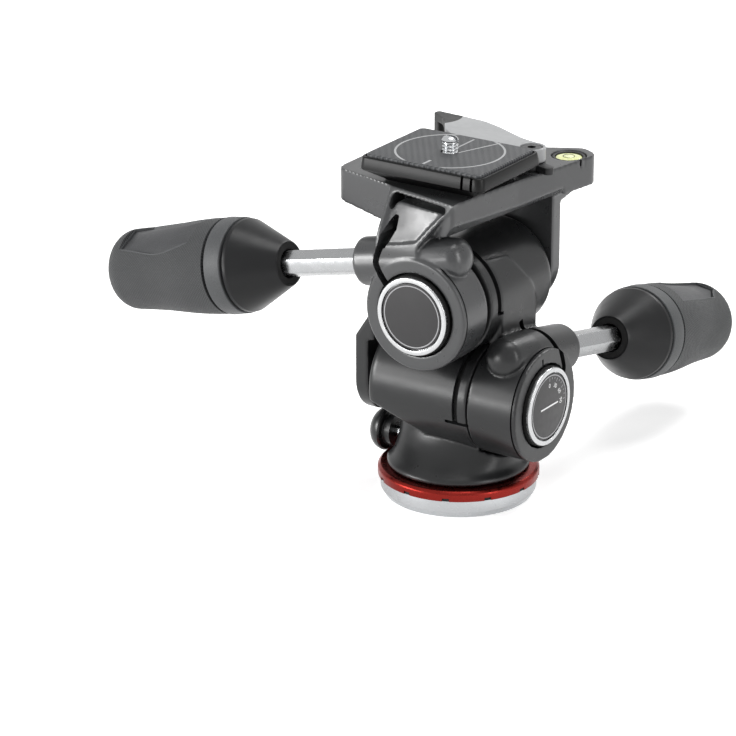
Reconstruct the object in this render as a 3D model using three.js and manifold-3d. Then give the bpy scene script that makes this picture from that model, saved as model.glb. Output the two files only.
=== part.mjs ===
// Three way pan tilt head: base, pan housing, mid bracket, camera platform and two clamp handles.
// Millimetres. +Z is the pan axis, the origin is the centre of the base's lower face.
// The front tilt axis runs along X, the side tilt axis along Y above it.

import * as THREE from "three";
import { mergeVertices } from "three/addons/utils/BufferGeometryUtils.js";
import Module from "manifold-3d";

const wasm = await Module();
wasm.setup();

// Clearances

const SEAT = 0.3;
const RUN = 0.3;
const TOUCH = 0.1;
const OVER = 1;
const MERGE = 0.001;

// Facets round a full turn

const FACETS = { large: 36, medium: 20, small: 10, hexagon: 6, corner: 3 };

// Heights of the two tilt axes

const LOWER_AXIS = 42.4;
const UPPER_AXIS = 80.4;

// Base disc, its threaded insert, its screws and the red ring on it

const BASE = { radius: 29.9, height: 7.2, bevelIn: 1.5, bevelUp: 2.5 };
const INSERT = { radius: 6.5, boreRadius: 4.76, recess: 0.4, chamfer: 0.6 };
const BASE_SCREW = { circle: 9.9, shankRadius: 1.5, headRadius: 2.4, headHeight: 1.7, length: 12.6,
  count: 3 };
const RED = {
  radius: 31, band: 3, crown: 4, crownIn: 0.3, innerTopRadius: 26, innerRise: 0.4, innerRadius: 13.2,
  notchWidth: 2.7, notchHeight: 1.3, notchDepth: 1.2, notchCount: 12, notchTurn: THREE.MathUtils.degToRad(-7),
};

// Pan spindle and what holds the housing on it

const SPINDLE = {
  shaftRadius: 12.6, flangeRadius: 15, flangeLow: 15.5, flangeHigh: 20.6, boreRadius: 5.4, boreTop: 17,
};
const RETAINER = { radius: 17.5, thickness: 2.8 };
const THRUST = { thickness: 1, innerRadius: 8, inset: 0.4 };

// Pan housing: flared neck below the front tilt barrel

const NECK = { gap: 0.4, foot: 27.3 };
// Height from foot to axis, then half widths in X and Y, as shares of the rise and of the foot's radius
const NECK_SHARES = [
  [0, 1, 1], [0.046, 1, 1], [0.115, 0.93, 0.916], [0.197, 0.908, 0.799], [0.296, 0.897, 0.681],
  [0.428, 0.894, 0.571], [0.592, 0.894, 0.495], [1, 0.894, 0.44],
];
const UNDERCUT = { left: -30, right: 2, ridge: 28.2, fallAlong: 0.37, riseAcross: 0.493, half: 23, deep: 20 };
const BARREL = { radius: 21.8, endRound: 3, roundSteps: 3, seam: 0.5, sweepGap: 0.5, reliefGap: 0.6 };
const LOWER = { coreLeft: -28, coreRight: 16.3, ringFace: 38, dialFace: 40.1 };
const UPPER = {
  coreBack: 32, seamAt: 12.4, ringFace: 31.6, dialFace: 34.1, backChamferIn: 2.2, backChamferAlong: 2.6,
};
const GROOVE = { width: 2.3, depth: 2.5, slotThick: 1.3, slotDepth: 2.2 };
const LOWER_GROOVE = { offset: 3.7, slotTurn: THREE.MathUtils.degToRad(-16), slotReach: 9.5 };
const UPPER_GROOVE = { offset: 4.2, slotTurn: THREE.MathUtils.degToRad(-7), slotReach: 3.2, slotBack: 7.8 };

// Pan lock: domed knob, its screw and the brake shoe

const LOCK = {
  height: 18, radius: 8.7, neckRadius: 6.1, inner: 28, neckGap: 0.2, rimRise: 0.7, domeRise: 6.3,
  domeSteps: 5,
  recessRadius: 11, recessFrom: 24, screwRadius: 2.5, screwInKnob: 6, shoeLength: 4,
};
const lockNeckEnd = RED.radius + LOCK.neckGap;
const lockWidest = lockNeckEnd + LOCK.rimRise;
const lockOuter = lockWidest + LOCK.domeRise;

// Tilt spindles, the washers and screws that keep the clamp rings on, and the dials

const HUB = { radius: 13.5, counterbore: 16.2, counterDepth: 5, proud: 0.3 };
const KEEP = { radius: 15.4, thickness: 1.3, screwRadius: 2, headRadius: 3.5, headHeight: 1.6,
  screwLength: 13 };
const DIAL = {
  radius: 15.2, lipRadius: 13.2, lipDepth: 1.5, floor: 1.1, backGap: 0.4, discThick: 1.1,
  disc: 12.9, lipRound: 0.5,
};

// Clamp bosses across the two rings, and the drop of their handles towards the grips

const CLAMP = {
  nutSideRadius: 7.6, middleRadius: 9, handleSideRadius: 9.3, fullFrom: 12, tubeEnd: 28.5, domeFrom: 12.4,
  domeRise: 5.6, domeSteps: 4, holeRadius: 3.3, nutRadius: 5, nutFrom: 4.8, nutLength: 6.4, mouthRadius: 6.3,
  mouthDepth: 4.6, split: 1.8, mouthChamfer: 0.8,
};
const LOWER_CLAMP = { at: 27.5, above: 18.2, drop: THREE.MathUtils.degToRad(11.8) };
const UPPER_CLAMP = { at: 22.2, above: 19.4, drop: THREE.MathUtils.degToRad(12.6) };

// Split lines of the two rings, seen along their barrels, in shares of the barrel radius

const LOWER_SPLIT_SHARES = [[0.48, 0.37], [0.62, 0.48], [0.485, 0.905], [0.36, 1.3]];
const UPPER_SPLIT_SHARES = [[-0.48, 0.37], [-0.6, 0.47], [-0.79, 0.78], [-0.8, 1.14]];
const LEAF_SHARES = [
  [-0.84, 1.12], [-0.79, 1.36], [-0.62, 1.56], [-0.5, 1.68], [-0.48, 1.61], [-0.63, 1.29], [-0.76, 1.12],
];

// Mid bracket: outer arm, shoulder, upper barrel and riser

const ARM = {
  inner: 31.5, thick: 5.9, half: 15.4, shoulderLow: 60, shoulderHigh: 69, bridgeLow: 58.5, fillet: 2.5,
  filletSteps: 4,
};
const RISER = { face: 22.1, front: 5.4, back: 19.3, foot: 48, sideFrom: 74, tip: 97 };
const RISER_SHARES = [[0.849, -0.11], [0.739, 0.142], [0.596, 0.307], [0.491, 0.45], [0.404, 0.583],
  [0.344, 0.697]];

// Pivot pins at the far ends of both barrels

const PIVOT = {
  radius: 8, depth: 13, screwRadius: 2.5, headRadius: 4.4, headHeight: 2.6, screwLength: 10,
};

// Camera platform

const PLATFORM = {
  top: 124.5, low: 112, leftDrop: 3, wallHeight: 8.2, bevelIn: 3, bevelLow: 111.9, bevelShare: 0.77,
  cornerRound: 5,
};
const PLATFORM_PLAN = {
  leftX: -47, leftFrontY: -12.5, webLeftX: -18.4, webLeftY: -19.9, frontX: 13.6, frontY: -28,
  rightA: [15.9, -10], rightB: [18.6, 10.9], rightC: [22.4, 30.3], rightFar: [26.6, 55],
  backRight: [18.4, 59.4],
  backMid: [0, 49], backLeft: [-19, 36],
};
const ARCH = { springY: -8, springZ: 107, crownFrontY: 5, crownZ: 112, crownBackY: 31, crownBackZ: 113,
  startZ: 100 };
const WEB = {
  left: -18.4, lowFront: -31, footShare: 0.44, bottomRight: -0.6, bottomZ: 107, curveX: 14, curveZ: 123.6,
  curveSteps: 6, topFront: -28, topLeftFront: -19.9, back: 2,
};
const webFoot = UPPER_AXIS + BARREL.radius * WEB.footShare;
const LEG = { front: 33, thick: 6.3, half: 20.3, roundAt: 85, heelLow: 108.9 };
const WINDOW = { left: -15.5, right: 11.9, front: -26.5, wide: 3.6, deep: 3,
  turn: THREE.MathUtils.degToRad(-9) };
const LIP = { left: -25, right: 5, front: -24.6, back: -18, deep: 0.8 };

// Bubble level at the far corner of the platform

const LEVEL = {
  x: 18.2, y: 47.9, recess: 6.75, recessDepth: 3.2, cupRadius: 6.4, cupBore: 5.3, cupHeight: 2.6,
  vialRadius: 5,
  vialHeight: 2.2, vialDome: 0.5,
};

// Quick release plate, its pad, camera screw and folding ring

const PLATE = {
  x: -4.1, y: -1.4, footX: 46, footY: 35, wideX: 54, wideY: 43, topX: 50.6, topY: 39.2, padX: 49, padY: 37.6,
  lift: 0.3, wideRise: 5.2, wideBand: 0.8, topRise: 9.5, padHeight: 1, footCorner: 2, corner: 3, notch: 1.1,
  notchAt: 4, notchIn: 2.4,
};
const CAMERA_SCREW = {
  radius: 3.175, above: 6, headRadius: 8, headHeight: 2.2, slotWidth: 1.3, slotDepth: 1.4, tipChamfer: 0.7,
  pocket: 11, pocketDepth: 5.4,
};
const FOLD_RING = { half: 9.2, wire: 1, drop: 1.4 };

// Quick release lever, its screw, safety catch and trigger pin

const LEVER = {
  x: 14.6, y: 26.2, bladeTop: 133.2, bladeThick: 3, hubRadius: 5.4, tabLow: 122.4,
};
// Places seen from above, from the plate's middle, as shares of the plate's width and depth
const LEVER_SHARES = [
  [0.45, 0.651], [0.42, 0.735], [0.187, 0.809], [-0.072, 0.972], [-0.228, 1.047], [-0.428, 1.074],
  [-0.643, 1.093],
  [-0.654, 1.028], [-0.535, 0.935], [-0.454, 0.814], [-0.369, 0.651], [-0.239, 0.535], [-0.072, 0.514],
  [0.335, 0.514], [0.42, 0.549],
];
const TAB_SHARES = [
  [-0.439, 1.074], [-0.643, 1.093], [-0.654, 1.028], [-0.598, 0.984], [-0.565, 1.019], [-0.45, 1],
];
const LEVER_SCREW = { radius: 2.5, headRadius: 4, headHeight: 1.6, length: 14 };
const CATCH = {
  radius: 5.4, height: 2.6, armLength: 9.6, armWidth: 4.2, tipRadius: 2.1,
  turn: THREE.MathUtils.degToRad(-18),
};
const TRIGGER = { x: -19, y: 8, radius: 1.6, headRadius: 2.4, length: 6, headHeight: 1.4, travel: 2 };

// Handles: hexagonal rod, grip sleeve, collar and rubber grip, measured along the clamp axis

const ROD = {
  across: 9.2, hexFrom: 25.4, hexTo: 104, threadRadius: 2.95, threadFrom: -10.4, washer: 5.7,
  washerThick: 1.2,
  endScrewRadius: 2, endScrewDepth: 8,
};
const STOP = { radius: 6.9, thickness: 2.4, screwHeadRadius: 3.4, screwHeadHeight: 2 };
const GRIP = {
  mouth: 66, mouthRadius: 8.3, mouthBore: 7, mouthBoreDepth: 5, seam: 85.3, seamGap: 0.8, radius: 18.5,
  collarEdge: 1, end: 147, endRadius: 15.8, endRound: 9, roundSteps: 4, sleeveWall: 1.8, hexPlay: 0.5,
  bore: 7.3, neckLength: 12, boreEnd: 144, bandWidth: 7, bandStep: 0.35, swell: 0.5,
  collarStep: 0.4,
  padWidth: 15, padDepth: 1.3, padFrom: 95, padTo: 137,
};
// How far out each grip stands on its rod, and the turn of its thumb pad
const TILT_GRIP = { out: 1, padTurn: THREE.MathUtils.degToRad(-90) };
const SIDE_GRIP = { out: -2, padTurn: THREE.MathUtils.degToRad(-25) };

// Colours and surfaces

const FINISH = {
  anthracite: { color: 0x3b3d3f, roughness: 0.42, metalness: 0.1 },
  blackPlastic: { color: 0x1b1c1d, roughness: 0.5, metalness: 0 },
  platformGrey: { color: 0x55585a, roughness: 0.5, metalness: 0.1 },
  leverGrey: { color: 0x8a8d8f, roughness: 0.38, metalness: 0.3 },
  red: { color: 0xa8342e, roughness: 0.35, metalness: 0.2 },
  steel: { color: 0xc9cbcc, roughness: 0.25, metalness: 1 },
  aluminium: { color: 0xd5d7d8, roughness: 0.3, metalness: 1 },
  brass: { color: 0xb08d4a, roughness: 0.35, metalness: 1 },
  nylon: { color: 0xe4e2dc, roughness: 0.6, metalness: 0 },
  rubber: { color: 0x5e6062, roughness: 0.85, metalness: 0 },
  vial: { color: 0xd3dc6a, roughness: 0.1, metalness: 0 },
};

// Shapes

const X = new THREE.Vector3(1, 0, 0);
const Y = new THREE.Vector3(0, 1, 0);
const Z = new THREE.Vector3(0, 0, 1);
const RIGHT_ANGLE = Math.PI / 2;
const FULL_TURN = 2 * Math.PI;

// Profile of [radius, height] points turned about Z
function revolved(profile, facets) {
  const points = profile.map(([radius, height]) => new THREE.Vector2(radius, height));
  return new THREE.LatheGeometry(points, facets).rotateX(RIGHT_ANGLE);
}

// Cylinder about Z between two heights
function rod(radius, low, high, facets) {
  return revolved([[0, low], [radius, low], [radius, high], [0, high]], facets);
}

// Ring about Z between two heights
function ring(inner, outer, low, high, facets) {
  return revolved([[inner, low], [outer, low], [outer, high], [inner, high], [inner, low]], facets);
}

// Outline of [x, y] points carried up Z between two heights
function prism(outline, low, high) {
  const shape = new THREE.Shape(outline.map(([x, y]) => new THREE.Vector2(x, y)));
  const options = { depth: high - low, bevelEnabled: false };
  return new THREE.ExtrudeGeometry(shape, options).translate(0, 0, low);
}

// Outline of [x, z] points, as seen from the front, carried along Y between two places
function frontPrism(outline, front, back) {
  const basis = new THREE.Matrix4().makeBasis(X, Z, Y.clone().negate());
  return prism(outline, -back, -front).applyMatrix4(basis);
}

// Outline of [y, z] points, as seen from +X, carried along X between two places
function sidePrism(outline, left, right) {
  return prism(outline, left, right).applyMatrix4(new THREE.Matrix4().makeBasis(Y, Z, X));
}

// Block between two corners
function block(from, to) {
  const size = to.map((value, index) => value - from[index]);
  const middle = to.map((value, index) => (value + from[index]) / 2);
  return new THREE.BoxGeometry(...size).translate(...middle);
}

// Solid through a stack of level outlines with the same number of points
function loft(levels) {
  const count = levels[0].outline.length;
  const positions = levels.flatMap(({ outline, height }) => outline.flatMap(([x, y]) => [x, y, height]));
  const sides = [];
  for (let level = 0; level < levels.length - 1; level += 1) {
    for (let index = 0; index < count; index += 1) {
      const a = level * count + index;
      const b = level * count + ((index + 1) % count);
      sides.push(a, b, b + count, a, b + count, a + count);
    }
  }
  const corners = levels[0].outline.map(([x, y]) => new THREE.Vector2(x, y));
  const lid = THREE.ShapeUtils.triangulateShape(corners, []);
  const top = (levels.length - 1) * count;
  const bottomLid = lid.flatMap(([a, b, c]) => [c, b, a]);
  const topLid = lid.flatMap(([a, b, c]) => [a + top, b + top, c + top]);
  const geometry = new THREE.BufferGeometry();
  geometry.setAttribute("position", new THREE.Float32BufferAttribute(positions, 3));
  geometry.setIndex([...sides, ...bottomLid, ...topLid]);
  return geometry;
}

// Rectangle with round corners about a centre, as [x, y] points
function roundedRectangle(centreX, centreY, width, depth, radius) {
  const corners = [[1, 1], [-1, 1], [-1, -1], [1, -1]];
  return corners.flatMap(([sideX, sideY], quarter) => {
    const cornerX = centreX + sideX * (width / 2 - radius);
    const cornerY = centreY + sideY * (depth / 2 - radius);
    return arcPoints(cornerX, cornerY, radius, quarter * RIGHT_ANGLE, (quarter + 1) * RIGHT_ANGLE,
      FACETS.corner);
  });
}

// Points along an arc
function arcPoints(centreX, centreY, radius, from, to, steps) {
  return Array.from({ length: steps + 1 }, (_, index) => {
    const angle = from + ((to - from) * index) / steps;
    return [centreX + radius * Math.cos(angle), centreY + radius * Math.sin(angle)];
  });
}

// Regular hexagon by its width across flats
function hexagon(across) {
  const corner = across / 2 / Math.cos(Math.PI / FACETS.hexagon);
  return arcPoints(0, 0, corner, 0, FULL_TURN, FACETS.hexagon).slice(0, FACETS.hexagon);
}

// Band of even width along a line of [x, y] points
function band(line, width) {
  const normals = line.map((point, index) => {
    const before = line[Math.max(index - 1, 0)];
    const after = line[Math.min(index + 1, line.length - 1)];
    const along = new THREE.Vector2(after[0] - before[0], after[1] - before[1]).normalize();
    return [-along.y * (width / 2), along.x * (width / 2)];
  });
  const left = line.map(([x, y], index) => [x + normals[index][0], y + normals[index][1]]);
  const right = line.map(([x, y], index) => [x - normals[index][0], y - normals[index][1]]);
  return [...right, ...left.reverse()];
}

// Shares of the barrel radius about a tilt axis as real places
function fromShares(shares, height) {
  return shares.map(([across, up]) => [across * BARREL.radius, height + up * BARREL.radius]);
}

// Solids: a closed shape whose faces point out

function signedVolume(positions, index) {
  let sum = 0;
  const [a, b, c] = [new THREE.Vector3(), new THREE.Vector3(), new THREE.Vector3()];
  for (let face = 0; face < index.length; face += 3) {
    a.fromArray(positions, index[face] * 3);
    b.fromArray(positions, index[face + 1] * 3);
    c.fromArray(positions, index[face + 2] * 3);
    sum += a.dot(b.cross(c));
  }
  return sum;
}

function solid(geometry) {
  const bare = new THREE.BufferGeometry();
  bare.setAttribute("position", geometry.getAttribute("position"));
  bare.setIndex(geometry.getIndex());
  const merged = mergeVertices(bare, MERGE);
  const positions = merged.getAttribute("position").array;
  const corners = merged.getIndex().array;
  const faces = [];
  for (let face = 0; face < corners.length; face += 3) {
    const [a, b, c] = corners.slice(face, face + 3);
    if (a !== b && b !== c && c !== a) {
      faces.push(a, b, c);
    }
  }
  if (signedVolume(positions, faces) < 0) {
    faces.reverse();
  }
  const mesh = new wasm.Mesh({
    numProp: 3, vertProperties: new Float32Array(positions), triVerts: new Uint32Array(faces),
  });
  return new wasm.Manifold(mesh);
}

function join(...geometries) {
  return geometries.map(asSolid).reduce((whole, next) => whole.add(next));
}

function cut(body, ...tools) {
  return tools.map(asSolid).reduce((whole, tool) => whole.subtract(tool), asSolid(body));
}

function common(...geometries) {
  return geometries.map(asSolid).reduce((whole, next) => whole.intersect(next));
}

function asSolid(shape) {
  return shape instanceof THREE.BufferGeometry ? solid(shape) : shape;
}

// Frames: places and turns that pieces are built in

const head = new THREE.Group();

function frame(position, rotation, parent = head) {
  const group = new THREE.Group();
  group.position.set(...position);
  group.rotation.set(...rotation);
  parent.add(group);
  group.updateWorldMatrix(true, false);
  return group;
}

// A shape built in one frame, as it lies in the head's own frame
function inHead(geometry, from) {
  return geometry.applyMatrix4(from.matrixWorld);
}

const lowerBarrel = frame([0, 0, LOWER_AXIS], [0, RIGHT_ANGLE, 0]);
const upperBarrel = frame([0, 0, UPPER_AXIS], [RIGHT_ANGLE, 0, 0]);
const lowerClamp = frame(
  [LOWER_CLAMP.at, 0, LOWER_AXIS + LOWER_CLAMP.above], [-RIGHT_ANGLE - LOWER_CLAMP.drop, 0, 0],
);
const upperClamp = frame(
  [0, -UPPER_CLAMP.at, UPPER_AXIS + UPPER_CLAMP.above], [0, -RIGHT_ANGLE - UPPER_CLAMP.drop, 0],
);
const panLock = frame([0, 0, LOCK.height], [0, -RIGHT_ANGLE, 0]);

// Add a named piece to a frame
function piece(name, shape, finish, parent = head) {
  const { vertProperties, triVerts } = asSolid(shape).getMesh();
  const geometry = new THREE.BufferGeometry();
  geometry.setAttribute("position", new THREE.BufferAttribute(vertProperties, 3));
  geometry.setIndex(new THREE.BufferAttribute(triVerts, 1));
  geometry.computeVertexNormals();
  const mesh = new THREE.Mesh(geometry, new THREE.MeshStandardMaterial(FINISH[finish]));
  mesh.name = name;
  parent.add(mesh);
  return mesh;
}

// Base

const screwTurns = Array.from({ length: BASE_SCREW.count },
  (_, index) => (FULL_TURN * index) / BASE_SCREW.count);

function screwPlace(turn) {
  return [BASE_SCREW.circle * Math.cos(turn), BASE_SCREW.circle * Math.sin(turn), 0];
}

function buildBaseDisc() {
  const body = revolved([
    [0, 0], [BASE.radius - BASE.bevelIn, 0], [BASE.radius, BASE.bevelUp], [BASE.radius, BASE.height],
    [0, BASE.height],
  ], FACETS.large);
  const socket = rod(INSERT.radius + SEAT, -OVER, BASE.height + OVER, FACETS.medium);
  const screwHoles = screwTurns.map((turn) => {
    const head = BASE_SCREW.headRadius + SEAT;
    const shank = BASE_SCREW.shankRadius + SEAT;
    const cone = BASE_SCREW.headHeight + SEAT;
    const profile = [[0, -OVER], [head, -OVER], [head, SEAT], [shank, cone], [shank, BASE.height + OVER],
      [0, BASE.height + OVER]];
    return revolved(profile, FACETS.small).translate(...screwPlace(turn));
  });
  return cut(body, socket, ...screwHoles);
}

function buildThreadInsert() {
  const { radius, boreRadius, recess, chamfer } = INSERT;
  return revolved([
    [boreRadius + chamfer, recess], [radius, recess], [radius, BASE.height], [boreRadius, BASE.height],
    [boreRadius, recess + chamfer], [boreRadius + chamfer, recess],
  ], FACETS.medium);
}

function buildBaseScrew() {
  const { shankRadius, headRadius, headHeight, length } = BASE_SCREW;
  return revolved([
    [0, SEAT], [headRadius, SEAT], [shankRadius, headHeight], [shankRadius, length], [0, length],
  ], FACETS.small);
}

function buildRedRing() {
  const low = BASE.height;
  const top = low + RED.crown;
  const body = revolved([
    [RED.innerRadius, low], [RED.radius, low], [RED.radius, low + RED.band],
    [RED.radius - RED.crownIn, low + (RED.crown + RED.band) / 2],
    [RED.radius - (RED.crown - RED.band), top], [RED.innerTopRadius, top + RED.innerRise],
    [RED.innerRadius, top + RED.innerRise], [RED.innerRadius, low],
  ], FACETS.large);
  const notches = Array.from({ length: RED.notchCount }, (_, index) => {
    const turn = RED.notchTurn + (FULL_TURN * index) / RED.notchCount;
    const from = [RED.radius - RED.notchDepth, -RED.notchWidth / 2, low - OVER];
    return block(from, [RED.radius + OVER, RED.notchWidth / 2, low + RED.notchHeight]).rotateZ(turn);
  });
  return cut(body, ...notches);
}

function buildPanSpindle() {
  const { shaftRadius, flangeRadius, flangeLow, flangeHigh, boreRadius, boreTop } = SPINDLE;
  const body = revolved([
    [0, BASE.height], [shaftRadius, BASE.height], [shaftRadius, flangeLow], [flangeRadius, flangeLow],
    [flangeRadius, flangeHigh], [0, flangeHigh],
  ], FACETS.large);
  const bore = rod(boreRadius, BASE.height - OVER, boreTop, FACETS.medium);
  const holes = screwTurns.map((turn) => rod(
    BASE_SCREW.shankRadius + SEAT, BASE.height - OVER, BASE_SCREW.length + SEAT, FACETS.small,
  ).translate(...screwPlace(turn)));
  return cut(body, bore, ...holes);
}

piece("base_disc", buildBaseDisc(), "aluminium");
piece("thread_insert", buildThreadInsert(), "brass");
piece("base_ring", buildRedRing(), "red");
piece("pan_spindle", buildPanSpindle(), "aluminium");
screwTurns.forEach((turn, index) => {
  piece(`base_screw_${index + 1}`, buildBaseScrew(), "steel").position.set(...screwPlace(turn));
});

// Pan housing

const neckLow = BASE.height + RED.crown + RED.innerRise + NECK.gap;
const retainerTop = SPINDLE.flangeLow - RUN;
const thrustTop = SPINDLE.flangeHigh + RUN + THRUST.thickness;
const cavityRadius = SPINDLE.flangeRadius + RUN;

// Neck from its round foot to the oval under the barrel
function buildNeck() {
  const circle = arcPoints(0, 0, NECK.foot, 0, FULL_TURN, FACETS.large).slice(1);
  return loft(NECK_SHARES.map(([up, wide, deep]) => ({
    height: neckLow + (LOWER_AXIS - neckLow) * up,
    outline: circle.map(([x, y]) => [x * wide, y * deep]),
  })));
}

// Two sloping faces that meet in a ridge along X and cut the barrel's lower left end
function undercut() {
  const { left, right, ridge, fallAlong, riseAcross, half, deep } = UNDERCUT;
  const wing = riseAcross * half;
  const outline = [[-half, -deep], [half, -deep], [half, wing], [0, 0], [-half, wing]];
  const slope = new THREE.Matrix4().makeShear(0, -fallAlong, 0, 0, 0, 0);
  return sidePrism(outline, 0, right - left).applyMatrix4(slope).translate(left, 0, ridge);
}

// Barrel about Z with one rounded end, from a flat end to the round one
function roundEndedBarrel(flat, roundEnd) {
  const toward = Math.sign(roundEnd - flat);
  const round = arcPoints(
    BARREL.radius - BARREL.endRound, 0, BARREL.endRound, 0, RIGHT_ANGLE, BARREL.roundSteps,
  ).map(([radius, along]) => [radius, roundEnd - toward * (BARREL.endRound - along)]);
  return revolved([[0, flat], [BARREL.radius, flat], ...round, [0, roundEnd]], FACETS.large);
}

// Half groove round the upper side of a barrel, in the barrel's frame, cut off by a line through its axis
function halfGroove(low, turn, upTurn) {
  const reach = BARREL.radius + OVER;
  const annulus = ring(BARREL.radius - GROOVE.depth, reach, low, low + GROOVE.width, FACETS.large);
  const from = upTurn - RIGHT_ANGLE + turn;
  const to = upTurn + RIGHT_ANGLE - turn;
  const sector = [[0, 0], ...arcPoints(0, 0, reach * 2, from, to, FACETS.corner)];
  return common(annulus, prism(sector, low - OVER, low + GROOVE.width + OVER));
}

// Short slot along a barrel at the end of its half groove
function grooveSlot(low, high, turn) {
  const deep = BARREL.radius - GROOVE.slotDepth;
  const from = [deep, -GROOVE.slotThick / 2, low];
  return block(from, [BARREL.radius + OVER, GROOVE.slotThick / 2, high]).rotateZ(turn);
}

// Stub that a clamp ring turns on, with the hole for its end screw, along Z from the barrel's seam
function hubSpindle(seam, ringFace) {
  const end = ringFace - HUB.counterDepth + HUB.proud;
  return rod(HUB.radius, seam - OVER, end, FACETS.large);
}

function hubScrewHole(ringFace) {
  const end = ringFace - HUB.counterDepth + HUB.proud;
  return rod(KEEP.screwRadius + SEAT, end - KEEP.screwLength, end + OVER, FACETS.small);
}

function buildPanHousing() {
  const barrel = inHead(roundEndedBarrel(LOWER.coreRight, LOWER.coreLeft), lowerBarrel);
  const core = join(buildNeck(), cut(barrel, undercut()));
  const ringSweep = inHead(
    rod(BARREL.radius + BARREL.sweepGap, LOWER.coreRight, LOWER.ringFace, FACETS.large), lowerBarrel,
  );
  const spindle = inHead(hubSpindle(LOWER.coreRight, LOWER.ringFace), lowerBarrel);
  const cavity = join(
    rod(RETAINER.radius + SEAT, neckLow - OVER, retainerTop + SEAT / 2, FACETS.large),
    rod(cavityRadius, neckLow, thrustTop + SEAT, FACETS.large),
  );
  const grooveLow = LOWER.coreRight - LOWER_GROOVE.offset - GROOVE.width;
  const groove = inHead(toGeometry(halfGroove(grooveLow, LOWER_GROOVE.slotTurn, Math.PI)), lowerBarrel);
  const slot = inHead(grooveSlot(
    LOWER.coreRight - LOWER_GROOVE.slotReach, LOWER.coreRight + OVER, -RIGHT_ANGLE - LOWER_GROOVE.slotTurn,
  ), lowerBarrel);
  const lockHole = inHead(rod(LOCK.screwRadius + SEAT, 0, lockOuter, FACETS.small), panLock);
  const lockRecess = inHead(rod(LOCK.recessRadius, LOCK.recessFrom, lockOuter, FACETS.medium), panLock);
  const pivotBore = inHead(
    rod(PIVOT.radius + RUN, LOWER.coreLeft - OVER, LOWER.coreLeft + PIVOT.depth, FACETS.medium), lowerBarrel,
  );
  const trimmed = join(cut(core, ringSweep), spindle);
  return cut(trimmed, cavity, groove, slot, lockHole, lockRecess, pivotBore,
    inHead(hubScrewHole(LOWER.ringFace), lowerBarrel));
}

// A cut or joined solid as a geometry again
function toGeometry(shape) {
  const { vertProperties, triVerts } = shape.getMesh();
  const geometry = new THREE.BufferGeometry();
  geometry.setAttribute("position", new THREE.BufferAttribute(vertProperties, 3));
  geometry.setIndex(new THREE.BufferAttribute(triVerts, 1));
  return geometry;
}

function buildRetainingRing() {
  const low = retainerTop - RETAINER.thickness;
  return ring(SPINDLE.shaftRadius + RUN, RETAINER.radius, low, retainerTop, FACETS.large);
}

function buildThrustWasher() {
  const low = SPINDLE.flangeHigh + RUN;
  return ring(THRUST.innerRadius, SPINDLE.flangeRadius - THRUST.inset, low, low + THRUST.thickness,
    FACETS.large);
}

piece("pan_housing", buildPanHousing(), "anthracite");
piece("pan_retaining_ring", buildRetainingRing(), "steel");
piece("pan_thrust_washer", buildThrustWasher(), "nylon");

// Pan lock, along the lock's own axis, which points to -X

const shoeTip = cavityRadius;
const shoeEnd = shoeTip + LOCK.shoeLength;

function buildLockKnob() {
  const dome = arcPoints(0, 0, 1, 0, RIGHT_ANGLE, LOCK.domeSteps).map(([across, along]) => [
    LOCK.radius * across, lockWidest + LOCK.domeRise * along,
  ]);
  const body = revolved([
    [0, LOCK.inner], [LOCK.neckRadius, LOCK.inner], [LOCK.neckRadius, lockNeckEnd], ...dome,
  ], FACETS.medium);
  const holeEnd = LOCK.inner + LOCK.screwInKnob + SEAT;
  return cut(body, rod(LOCK.screwRadius + SEAT, LOCK.inner - OVER, holeEnd, FACETS.small));
}

piece("pan_brake_shoe", rod(LOCK.screwRadius, shoeTip, shoeEnd, FACETS.small), "brass", panLock);
piece("pan_lock_screw", rod(LOCK.screwRadius, shoeEnd + SEAT, LOCK.inner + LOCK.screwInKnob, FACETS.small),
  "steel",
  panLock);
piece("pan_lock_knob", buildLockKnob(), "anthracite", panLock);

// Washer, screw and dial on the end of a tilt spindle, along the barrel's own axis

function buildDialStack(prefix, ringFace, dialFace, parent) {
  const washerLow = ringFace - HUB.counterDepth + HUB.proud + SEAT;
  const washerHigh = washerLow + KEEP.thickness;
  const headLow = washerHigh + TOUCH;
  const dialBack = washerHigh + DIAL.backGap;
  const lipFloor = dialFace - DIAL.lipDepth;
  const screw = revolved([
    [0, headLow - KEEP.screwLength], [KEEP.screwRadius, headLow - KEEP.screwLength],
    [KEEP.screwRadius, headLow],
    [KEEP.headRadius, headLow], [KEEP.headRadius, headLow + KEEP.headHeight], [0, headLow + KEEP.headHeight],
  ], FACETS.small);
  const cup = revolved([
    [DIAL.lipRadius, dialBack], [DIAL.radius, dialBack], [DIAL.radius, dialFace - DIAL.lipRound],
    [DIAL.radius - DIAL.lipRound, dialFace], [DIAL.lipRadius, dialFace], [DIAL.lipRadius, lipFloor],
    [0, lipFloor], [0, lipFloor - DIAL.floor], [DIAL.lipRadius, lipFloor - DIAL.floor],
    [DIAL.lipRadius, dialBack],
  ], FACETS.large);
  const disc = rod(DIAL.disc, lipFloor + TOUCH, lipFloor + TOUCH + DIAL.discThick, FACETS.large);
  const washer = ring(KEEP.screwRadius + SEAT, KEEP.radius, washerLow, washerHigh, FACETS.medium);
  piece(`${prefix}_keeper_washer`, washer, "steel", parent);
  piece(`${prefix}_keeper_screw`, screw, "steel", parent);
  piece(`${prefix}_dial_ring`, cup, "steel", parent);
  piece(`${prefix}_dial`, disc, "blackPlastic", parent);
}

buildDialStack("tilt", LOWER.ringFace, LOWER.dialFace, lowerBarrel);

// Clamp boss shapes, along the clamp's own axis from its middle towards the handle

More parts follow.
